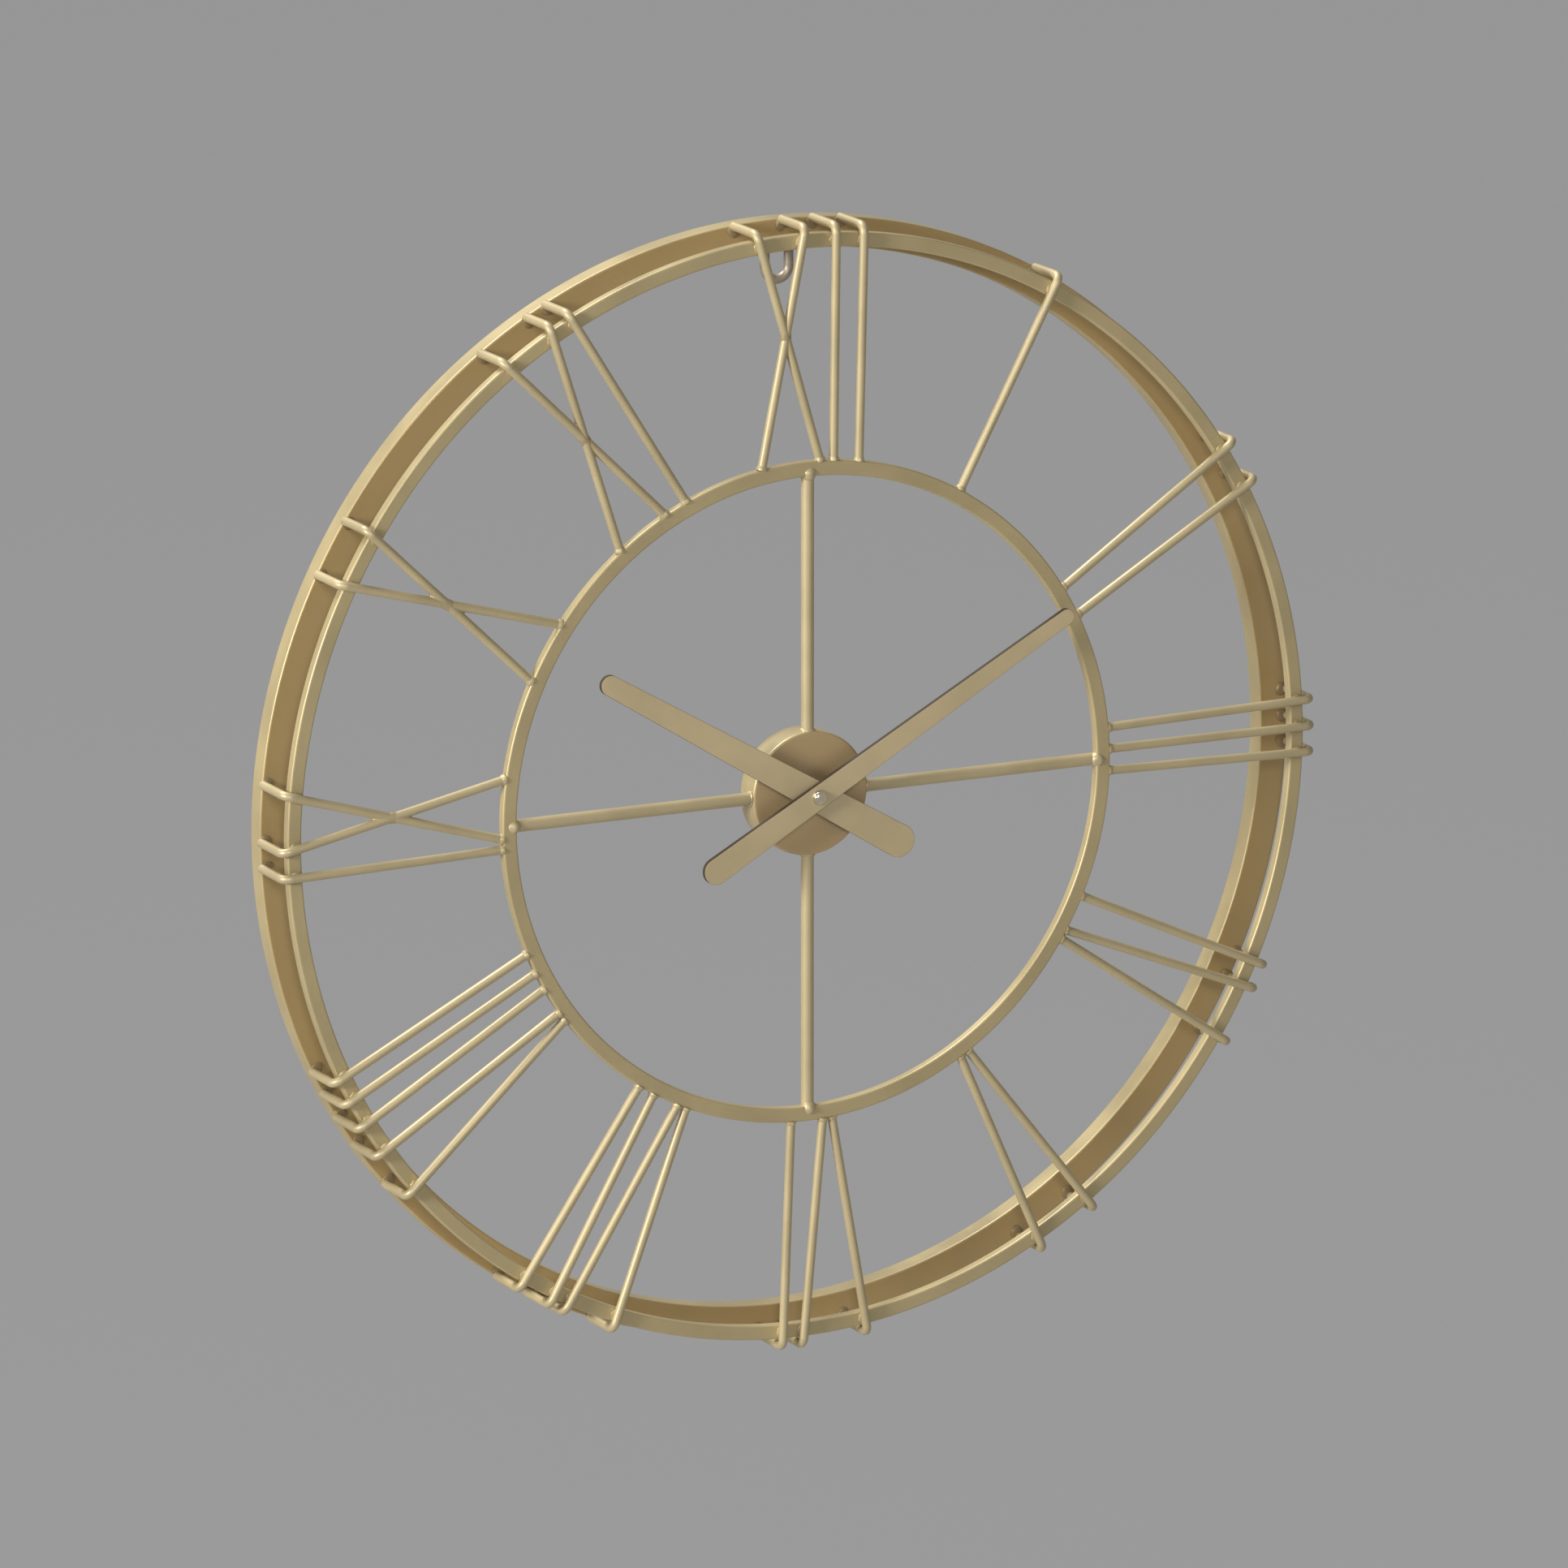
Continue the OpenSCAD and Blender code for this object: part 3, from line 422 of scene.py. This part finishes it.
rings = {
    "edge": 1.2, "cornerSteps": 7, "hold": 0.25, "steps": 480, "faceFade": (0.4, 1.2),
    "waveDepth": 0.05, "waves": (5, 11), "secondShare": 0.6,  # waves in a turn; the second's height to the first's
    # how brown the front face is: painted shade, a browner front face on the back ring where the front ring and the
    # bars shade it
    "pieces": {  # outer radius, width, front face, depth, how brown the front face is, slot, finish
        "back_ring": (clock["backRingR"], clock["backRingW"], clock["backRingDepth"], clock["backRingDepth"], 1.0,
                      "back_ring_paint", "backRing"),
        "front_ring": (clock["frontRingR"], clock["frontRingW"], clock["frontRingFront"], clock["frontRingDepth"], 0.0,
                       "gold_paint", "ring"),
        "inner_ring": (clock["innerRingR"], clock["innerRingW"], clock["innerRingFront"], clock["innerRingDepth"], 0.0,
                       "gold_paint", "ring"),
    },
}


# A rounded section carried round the axis; its front face falls back by a sum of two slow sines of the angle
def ringPiece(node, outerR, width, front, depth, brown, slotName, finish):
    section = roundedBox(width, depth, rings["edge"], rings["cornerSteps"], rings["hold"])
    profile = section + [outerR - width, front - depth]
    # Painted shade: the front face turns to the darker edge color by brown times faceTone
    tone = brown * faceTone(profile[:, 1], front, *rings["faceFade"])
    points, closeRows, closeCols, tone = turned(profile, rings["steps"], tone[None, :])
    turn = np.arange(rings["steps"]) * 2 * pi / rings["steps"]
    (slow, quick), share = rings["waves"], rings["secondShare"]
    wave = rings["waveDepth"] * (1 + share - np.sin(slow * turn) - share * np.sin(quick * turn + 1))
    points[..., 1] += wave[:, None] * (profile[:, 1] > front - depth / 2)[None, :]
    piece = makePiece("dressed_" + node, [(points, closeRows, closeCols, tone)])
    return fit(piece, "frame", finishes[finish], node)


for node, values in rings["pieces"].items():
    ringPiece(node, *values)
print("rings made:", len(rings["pieces"]))

bars = {
    # each bar's clock angles at the inner ring and at the bend, from the numeral's own hour
    "angles": {
        1: [(-0.1, -0.8)], 2: [(-2.5, -3.2), (3.2, 1.6)], 3: [(-5.4, -3.7), (-1.6, -0.9), (2.2, 1.8)],
        4: [(-5.5, -5.5), (0.95, -2.9), (2.65, 3.2)], 5: [(-2.05, -4.7), (-0.35, 2.2)],
        6: [(-4.35, -6.7), (-2.65, 0.6), (3.4, 2.9)], 7: [(-6.1, -7.6), (-4.4, -1.7), (0.7, 0.2), (3.9, 4.1)],
        8: [(-6.9, -9.4), (-5.2, -3.9), (0, -0.3), (3.3, 2.7), (7.1, 5.3)],
        9: [(-3.7, -2.7), (-1.9, 5.7), (8.3, -0.1)], 10: [(-4.5, 3.1), (6.1, -2.8)],
        11: [(-7.9, 0.4), (2, -5.5), (6.3, 2.7)], 12: [(-8.9, -0.4), (2, -5.7), (4.6, 3), (9.4, 6.1)],
    },
    # numerals with an X: its first bar, and how brown the weld at the crossing is, which is painted shade between the
    # crossing bars
    "cross": {9: (1, 0.1), 10: (0, 0.18), 11: (0, 0.4), 12: (0, 0.4)},
    "bend": 5.0, "legEnd": 14.3, "rim": 0.5, "endGap": 0.15, "sides": 28,
    "stations": (16, 15, 7),  # along the run, round the bend and along the leg
    "footReach": 3.2, "footSwell": 0.65, "footSink": 0.35, "footRipple": (0.16, 0.1), "footSides": 24,
    # beads: half sizes along, flat and across, how lumpy, and how brown; the brown of the leg weld is a painted shadow
    # of the leg
    "saddle": ((3.9, 0.9, 3.3), 0.09, 0.15), "legWeld": ((1.0, 4.2, 3.9), 0.12, 0.75), "legWeldInset": 3.0,
    "crossWeld": ((13.0, 2.85, 3.5), 0.03),
}


# A bar runs straight along the dial, turns through a quarter circle, and ends in a leg that stands on the back ring
def barPath(fromAngle, toAngle):
    start = onDial(clock["innerRingR"], fromAngle, clock["barPlane"])
    run = onDial(clock["barCornerR"], toAngle, clock["barPlane"]) - start
    return {"start": start, "heading": unit(run), "straight": np.linalg.norm(run) - bars["bend"],
            "arc": bars["bend"] * pi / 2, "leg": clock["barPlane"] - bars["legEnd"] - bars["bend"]}


# Points and tangents at distances s along a bar
def alongBar(path, s):
    theta = np.clip((s - path["straight"]) / bars["bend"], 0, pi / 2)
    ahead = np.minimum(s, path["straight"]) + bars["bend"] * np.sin(theta)
    tangents = np.cos(theta)[:, None] * path["heading"] + np.sin(theta)[:, None] * wallWards
    legPart = np.maximum(s - path["straight"] - path["arc"], 0)
    points = path["start"] + ahead[:, None] * path["heading"] + legPart[:, None] * tangents \
        + (bars["bend"] * (1 - np.cos(theta)))[:, None] * wallWards
    return points, tangents


# The rod, a weld collar at its foot, a flat bead under it on the front ring, and a weld where the leg meets
# the back ring
def barGrids(path, seed):
    heading, flat = path["heading"], np.cross(path["heading"], wallWards)
    bendEnd, gap = path["straight"] + path["arc"], bars["endGap"]
    total = bendEnd + path["leg"]
    onRun, onBend, onLeg = bars["stations"]
    inner = np.concatenate([np.linspace(2, path["straight"] - 0.5, onRun),
                            np.linspace(path["straight"], bendEnd, onBend),
                            bendEnd + np.linspace(0.5, path["leg"] - 2, onLeg)])
    s, r = easedEnds(total - gap, clock["barR"], bars["rim"], inner)
    points, tangents = alongBar(path, s + gap)
    grids = [sweep(points, tangents, flat, r, bars["sides"])]
    # the collar's radius falls from the ring as a cosine, with sines of the angle round it
    sides, sink, (four, seven) = bars["footSides"], bars["footSink"], bars["footRipple"]
    t, phi = np.linspace(0, 1, 9), np.arange(sides) * 2 * pi / sides
    ripple = 1 + four * np.sin(4 * phi + 3 * seed) + seven * np.sin(7 * phi + seed)
    collar = clock["barR"] - sink + (sink + bars["footSwell"]) * np.cos(t * pi / 2)[:, None] * ripple[None, :]
    collar = np.concatenate([np.zeros((1, sides)), collar, np.zeros((1, sides))])
    reach = bars["footReach"] * np.concatenate([[0], t, [1]]) - sink
    points = path["start"] + reach[:, None] * heading
    grids.append(sweep(points, np.repeat(heading[None], len(reach), 0), flat, collar, sides))
    # where the bar's line is as far from the axis as the middle of the front ring
    flatStart = path["start"] * [1, 0, 1]
    nearest = np.dot(flatStart, heading)
    middle = clock["frontRingR"] - clock["frontRingW"] / 2
    along = np.sqrt(nearest ** 2 - np.dot(flatStart, flatStart) + middle ** 2) - nearest
    saddle = path["start"] + along * heading + wallWards * (clock["barR"] + 0.1)
    grids.append(bead(saddle, heading, wallWards, seed, *bars["saddle"]))
    legs, _ = alongBar(path, np.array([total]))
    inwards = -unit(legs[0] * [1, 0, 1])
    # Painted shadow: the leg weld's dark brown stands for the leg's shadow on the back ring's face
    grids.append(bead(legs[0] + bars["legWeldInset"] * inwards, wallWards, inwards, seed + 1, *bars["legWeld"]))
    return grids


# Where two bars' centre lines meet on the dial: the first's foot plus its heading times a ratio of cross products
def crossing(first, second):
    a, b, gap = first["heading"], second["heading"], second["start"] - first["start"]
    return first["start"] + (gap[0] * b[2] - gap[2] * b[0]) / (a[0] * b[2] - a[2] * b[0]) * a


for hour, angles in bars["angles"].items():
    paths = [barPath(30 * hour + atFoot, 30 * hour + atBend) for atFoot, atBend in angles]
    grids = [grid for k, path in enumerate(paths) for grid in barGrids(path, hour + 1.7 * k)]
    if hour in bars["cross"]:
        k, brown = bars["cross"][hour]
        along = paths[k]["heading"] + paths[k + 1]["heading"]
        grids.append(bead(crossing(*paths[k:k + 2]), along, wallWards, hour, *bars["crossWeld"], brown))
    fit(makePiece("dressed_numeral_%d" % hour, grids), "frame", finishes["bar"], "numeral_%d" % hour)
print("numerals made:", len(bars["angles"]))

spokes = {
    "r": 3.95, "plane": 45.0, "rim": 0.3, "sink": 0.3, "sides": 36, "stations": 24,
    "bead": ((5.1, 5.0, 4.7), 0.05), "beadReach": 1.6, "collar": ((2.0, 4.25, 4.9), 0.05), "collarReach": 0.5,
    "angles": {"spoke_top": 0, "spoke_right": 90, "spoke_bottom": 180, "spoke_left": 270},
}


# A round rod from the can's wall to the inner ring, a weld bead that laps the ring, and a collar at the can
def spokePiece(node, angle):
    ringWall = clock["innerRingR"] - clock["innerRingW"]
    radial = onDial(1.0, angle, 0.0)
    length = ringWall - clock["canR"] + 2 * spokes["sink"]
    s, r = easedEnds(length, spokes["r"], spokes["rim"], np.linspace(3, length - 3, spokes["stations"]))
    start = onDial(clock["canR"] - spokes["sink"], angle, spokes["plane"])
    end = onDial(ringWall + spokes["beadReach"], angle, clock["innerRingFront"] - clock["innerRingDepth"] / 2)
    tangents = np.repeat(radial[None], len(s), 0)
    grids = [sweep(start + s[:, None] * radial, tangents, np.cross(radial, wallWards), r, spokes["sides"]),
             bead(end, radial, wallWards, angle, *spokes["bead"]),
             bead(start + spokes["collarReach"] * radial, radial, wallWards, angle + 2, *spokes["collar"])]
    return fit(makePiece("dressed_" + node, grids), "frame", finishes["bar"], node)


for node, angle in spokes["angles"].items():
    spokePiece(node, angle)

can = {"sheet": 1.2, "edge": 1.6, "boreR": 4.05, "dish": 0.12, "lip": 0.9, "steps": 160, "sharpAngle": 30,
       "faceFade": (0.5, 1.3)}


# Drawn can: a front that dishes in by a half sine, a rolled edge, a straight wall and an eased rear rim; the tenths
# of a millimetre in its profile ease the corners
def canPiece():
    r, front, rear, sheet, edge = clock["canR"], clock["canFront"], clock["canRear"], can["sheet"], can["edge"]
    across = np.linspace(0, pi, 14)[:-1]
    face = np.stack([can["boreR"] + (r - edge - can["boreR"]) * across / pi, front - can["dish"] * np.sin(across)], -1)
    turn = np.linspace(0, pi / 2, 9)
    rolled = np.stack([r - edge + edge * np.sin(turn), front - edge + edge * np.cos(turn)], -1)
    wall = np.stack([np.full(5, r), np.linspace(front - edge - 0.3, rear + 0.3, 5)], -1)
    rim = np.array([[r - 0.1, rear + 0.08], [r - 0.3, rear], [r - can["lip"], rear], [r - sheet + 0.08, rear + 0.1],
                    [r - sheet, rear + 0.4], [r - sheet, front - sheet - 0.8]])
    inside = np.array([[r - sheet - 0.3, front - sheet - 0.25], [r - sheet - 0.8, front - sheet], [20.0, front - sheet],
                       [can["boreR"] + 0.1, front - sheet], [can["boreR"], front - sheet + 0.1]])
    profile = np.concatenate([face, rolled, wall, rim, inside])
    # Painted shade: the front and its rolled edge turn to the darker can brown, while the wall keeps the lighter ring
    # color
    seenInFront = np.arange(len(profile)) < len(face) + len(rolled)
    tone = np.where(seenInFront, faceTone(profile[:, 1], front, *can["faceFade"]), 0.0)
    piece = makePiece("dressed_hub_can", [turned(profile, can["steps"], tone[None, :])], can["sharpAngle"])
    return fit(piece, "frame", finishes["can"], "hub_can")


canPiece()

hanger = {"wireR": 3.0, "insideW": 10.0, "drop": 17.6, "topGap": 0.2, "sides": 24,
          "weld": ((4.0, 2.6, 1.3), 0.08), "weldOut": 0.3, "weldUp": 0.1}


# Bent wire: down, round a half circle and up again, with a weld where each end meets the back ring's inner wall
def hangerPiece():
    innerR = clock["backRingR"] - clock["backRingW"]
    bendR = hanger["insideW"] / 2 + hanger["wireR"]
    centreZ, top = innerR - hanger["drop"] + hanger["insideW"] / 2, innerR - hanger["topGap"]
    turn = np.linspace(0, pi, 25)
    down = np.linspace(top, centreZ + 1, 6)
    xs = np.concatenate([np.full(7, -bendR), -bendR * np.cos(turn), np.full(7, bendR)])
    zs = np.concatenate([[top], down, centreZ - bendR * np.sin(turn), down[::-1], [top]])
    points = np.stack([xs, np.full(len(xs), -hanger["wireR"]), zs], -1)
    tangents = np.gradient(points, axis=0)
    tangents[:2], tangents[-2:] = (0, 0, -1), (0, 0, 1)
    tangents /= np.linalg.norm(tangents, axis=1)[:, None]
    radii = np.full(len(points), hanger["wireR"])
    radii[[0, -1]] = 0
    grids = [sweep(points, tangents, wallWards, radii, hanger["sides"])]
    for side in (-1, 1):
        place = np.array([side * bendR, -hanger["wireR"] - hanger["weldOut"], top + hanger["weldUp"]])
        grids.append(bead(place, np.array([1.0, 0, 0]), wallWards, side, *hanger["weld"]))
    return fit(makePiece("dressed_hanger_loop", grids), "frame", finishes["hanger"], "hanger_loop")


hangerPiece()
print("spokes, can and hanging loop made")

hands = {
    "minute": {"angle": 60.6, "tip": 198.0, "tail": 87.0, "tipW": 10.0, "tailW": 16.5, "front": 61.4, "boreR": 1.6,
               "collarRear": 57.9},
    "hour": {"angle": 301.0, "tip": 166.0, "tail": 76.0, "tipW": 12.5, "tailW": 20.5, "front": 57.4, "boreR": 2.55,
             "collarRear": 53.2},
    "sheet": 0.8, "fold": 3.5, "edge": 0.35, "collarR": 4.5, "collarSteps": 48, "sharpAngle": 35,
    "faceShares": (0.0, 0.25, 0.5, 0.75, 0.92),
}


# Outline of a tapered hand: two arcs joined by tangent lines, drawn in by inset and shrunk to its spine by share
def handLoop(h, inset, share):
    tipY, tailY = h["tip"] - h["tipW"] / 2, h["tailW"] / 2 - h["tail"]
    tipR, tailR = (h["tipW"] / 2 - inset) * share, (h["tailW"] / 2 - inset) * share
    lean = np.arcsin((h["tailW"] - h["tipW"]) / 2 / (tipY - tailY))
    tipTurn, tailTurn = np.linspace(lean, pi - lean, 25), np.linspace(pi - lean, 2 * pi + lean, 31)
    side = np.linspace(0, 1, 22)[1:-1, None]
    tipArc = np.stack([tipR * np.cos(tipTurn), tipY + tipR * np.sin(tipTurn)], -1)
    tailArc = np.stack([tailR * np.cos(tailTurn), tailY + tailR * np.sin(tailTurn)], -1)
    return np.concatenate([tipArc, tipArc[-1] + (tailArc[0] - tipArc[-1]) * side,
                           tailArc, tailArc[-1] + (tipArc[0] - tailArc[-1]) * side])


# Folded sheet: nested outlines run over the face, round the folded edge, down the side and back up inside; the side
# and the inside have tone 1, and a collar round the bore is turned from its own profile
def handPiece(word):
    h, sheet, edge = hands[word], hands["sheet"], hands["edge"]
    front, foot = h["front"], h["front"] - hands["fold"]
    turn = np.linspace(0, pi / 2, 6)
    sections = [(edge, share, front, 0.0) for share in hands["faceShares"]]  # inset, share, out, tone
    sections += [(edge - edge * sin(a), 1.0, front - edge + edge * cos(a), min(1.0, 2.2 * a / pi)) for a in turn]
    sections += [(0.0, 1.0, out, 1.0) for out in (front - 1.2, front - 2.4, foot + 0.1)]
    sections += [(0.1, 1.0, foot, 1.0), (sheet - 0.1, 1.0, foot, 1.0), (sheet, 1.0, foot + 0.1, 1.0)]
    sections += [(sheet, 1.0, front - sheet - 0.3, 1.0)]
    sections += [(sheet + 0.3, share, front - sheet, 1.0) for share in (1.0, 0.6, 0.0)]
    a = radians(h["angle"])
    loops = np.array([handLoop(h, inset, share) for inset, share, _, _ in sections])
    outs, tones = np.array([row[2] for row in sections]), np.array([row[3] for row in sections])
    points = np.stack([loops[..., 0] * cos(a) + loops[..., 1] * sin(a),
                       np.broadcast_to(-outs[:, None], loops.shape[:2]),
                       -loops[..., 0] * sin(a) + loops[..., 1] * cos(a)], -1)
    bore, rear, outer = h["boreR"], h["collarRear"], hands["collarR"]
    collar = np.array([[bore, front - 0.05], [bore, rear + 0.05], [bore + 0.2, rear], [outer - 0.3, rear],
                       [outer, rear + 0.3], [outer, front - sheet], [outer - 0.4, front - 0.3],
                       [bore + 0.3, front - 0.05]])
    grids = [(points, False, True, tones[:, None]), turned(collar, hands["collarSteps"], 1.0)]
    piece = makePiece("dressed_%s_hand" % word, grids, hands["sharpAngle"])
    return fit(piece, word, finishes["hand"], word + "_hand")


handPiece("minute")
handPiece("hour")

capNut = {"r": 4.75, "seat": 61.4, "height": 3.6, "flange": 0.7, "socketR": 1.6, "socketDepth": 0.4, "neck": 0.6,
          "domeFoot": 0.5, "steps": 72, "sharpAngle": 35}


# Domed nut: a flange, a neck, and a dome whose radius falls as a cosine while its height grows as a sine
def capNutPiece():
    r, seat, top = capNut["r"], capNut["seat"], capNut["seat"] + capNut["height"]
    flange, domeR = seat + capNut["flange"], capNut["r"] - capNut["neck"] + 0.05
    turn = np.linspace(0, pi / 2, 16)
    domeFoot = capNut["domeFoot"]
    dome = np.stack([domeR * np.cos(turn), flange + domeFoot + (top - flange - domeFoot) * np.sin(turn)], -1)
    socket = np.array([[0.0, seat + capNut["socketDepth"]], [capNut["socketR"], seat + capNut["socketDepth"]]])
    foot = np.array([[capNut["socketR"], seat + 0.02], [r - 0.15, seat + 0.02], [r, seat + 0.2], [r, flange - 0.15],
                     [r - 0.15, flange], [domeR - 0.05, flange + 0.05], [domeR - 0.05, flange + 0.3]])
    profile = np.concatenate([socket, foot, dome])
    piece = makePiece("dressed_cap_nut", [turned(profile, capNut["steps"])], capNut["sharpAngle"])
    return fit(piece, "minute", finishes["nut"], "cap_nut")


capNutPiece()
print("hands and cap nut made")

studio = {
    "background": (0.314, 0.314, 0.314), "floorZ": -1.15, "floorHalf": 14.0, "floorColor": (0.55, 0.55, 0.55),
    "floorPlain": 0.95, "skyColor": (0.62, 0.62, 0.62), "skyStrength": 0.26,
    "lamps": {  # place and diameter in metres, power in watts, color
        "key": ((-5.9, -1.65, 1.6), 1.5, 380.0, (1.0, 0.985, 0.95)),
        "top": ((-1.3, 2.3, 4.7), 2.6, 285.0, (1.0, 1.0, 1.0)),
        "fill": ((-2.0, -4.8, 1.9), 1.1, 84.0, (1.0, 1.0, 1.0)),
    },
}


# 1 for camera, glossy and transmission rays, which see the plain background
def plainRay(tree):
    path = tree.nodes.new("ShaderNodeLightPath")
    rays = [path.outputs[name] for name in ("Is Camera Ray", "Is Glossy Ray", "Is Transmission Ray")]
    return calculate(tree, "MAXIMUM", calculate(tree, "MAXIMUM", rays[0], rays[1]), rays[2])


# Sends a mix of two shaders by factor to the output
def mixShaders(tree, factor, first, second, output):
    mix = tree.nodes.new("ShaderNodeMixShader")
    tree.links.new(factor, mix.inputs[0])
    tree.links.new(first.outputs[0], mix.inputs[1])
    tree.links.new(second.outputs[0], mix.inputs[2])
    tree.links.new(mix.outputs[0], output.inputs[0])


# Even light from all sides, and the plain background for the rays above
def makeWorld():
    world = bpy.data.worlds.new("studio")
    bpy.context.scene.world = world
    world.use_nodes = True
    tree = world.node_tree
    tree.nodes.clear()
    light, plain = tree.nodes.new("ShaderNodeBackground"), tree.nodes.new("ShaderNodeBackground")
    light.inputs["Color"].default_value = (*studio["skyColor"], 1)
    light.inputs["Strength"].default_value = studio["skyStrength"]
    plain.inputs["Color"].default_value = (*studio["background"], 1)
    mixShaders(tree, plainRay(tree), light, plain, tree.nodes.new("ShaderNodeOutputWorld"))


# A pale matt floor; for the rays above it is nearly all plain background, and the rest keeps the shadow
def makeFloor():
    half, z = studio["floorHalf"], studio["floorZ"]
    mesh = bpy.data.meshes.new("floor")
    mesh.from_pydata([(-half, -half, z), (half, -half, z), (half, half, z), (-half, half, z)], [], [(0, 1, 2, 3)])
    floor = bpy.data.objects.new("floor", mesh)
    bpy.context.scene.collection.objects.link(floor)
    material = bpy.data.materials.new("paleFloor")
    material.use_nodes = True
    tree = material.node_tree
    tree.nodes.clear()
    matt, plain = tree.nodes.new("ShaderNodeBsdfDiffuse"), tree.nodes.new("ShaderNodeEmission")
    matt.inputs["Color"].default_value = (*studio["floorColor"], 1)
    plain.inputs["Color"].default_value = (*studio["background"], 1)
    share = calculate(tree, "MULTIPLY", plainRay(tree), studio["floorPlain"])
    mixShaders(tree, share, matt, plain, tree.nodes.new("ShaderNodeOutputMaterial"))
    mesh.materials.append(material)


# Each lamp is a disk that faces the hands' axis
def makeLamps():
    for name, (place, diameter, power, color) in studio["lamps"].items():
        data = bpy.data.lights.new(name, "AREA")
        data.shape, data.size, data.energy, data.color = "DISK", diameter, power, color
        lamp = bpy.data.objects.new(name, data)
        lamp.location = place
        lamp.rotation_euler = (-Vector(place)).to_track_quat("-Z", "Y").to_euler()
        bpy.context.scene.collection.objects.link(lamp)


view = {"yaw": 26.34, "pitch": 13.52, "distance": 6.8958, "aimX": 0.00649, "aimZ": -0.00548,
        "focalPixels": 13964, "imagePixels": 1932, "sensor": 36.0, "clip": (0.05, 60.0)}


# The camera stands back from the aim point along its line of sight, which yaw turns sideways and pitch down
def makeCamera():
    yaw, pitch = radians(view["yaw"]), radians(view["pitch"])
    look = np.array([sin(yaw) * cos(pitch), cos(yaw) * cos(pitch), -sin(pitch)])
    data = bpy.data.cameras.new("camera")
    data.sensor_width, data.lens = view["sensor"], view["sensor"] * view["focalPixels"] / view["imagePixels"]
    data.clip_start, data.clip_end = view["clip"]
    camera = bpy.data.objects.new("camera", data)
    camera.location = np.array([view["aimX"], 0, view["aimZ"]]) - view["distance"] * look
    camera.rotation_euler = (pi / 2 - pitch, 0, -yaw)
    bpy.context.scene.collection.objects.link(camera)
    bpy.context.scene.camera = camera


makeWorld()
makeFloor()
makeLamps()
makeCamera()
bpy.context.scene.view_settings.view_transform = "Standard"
print("studio made")
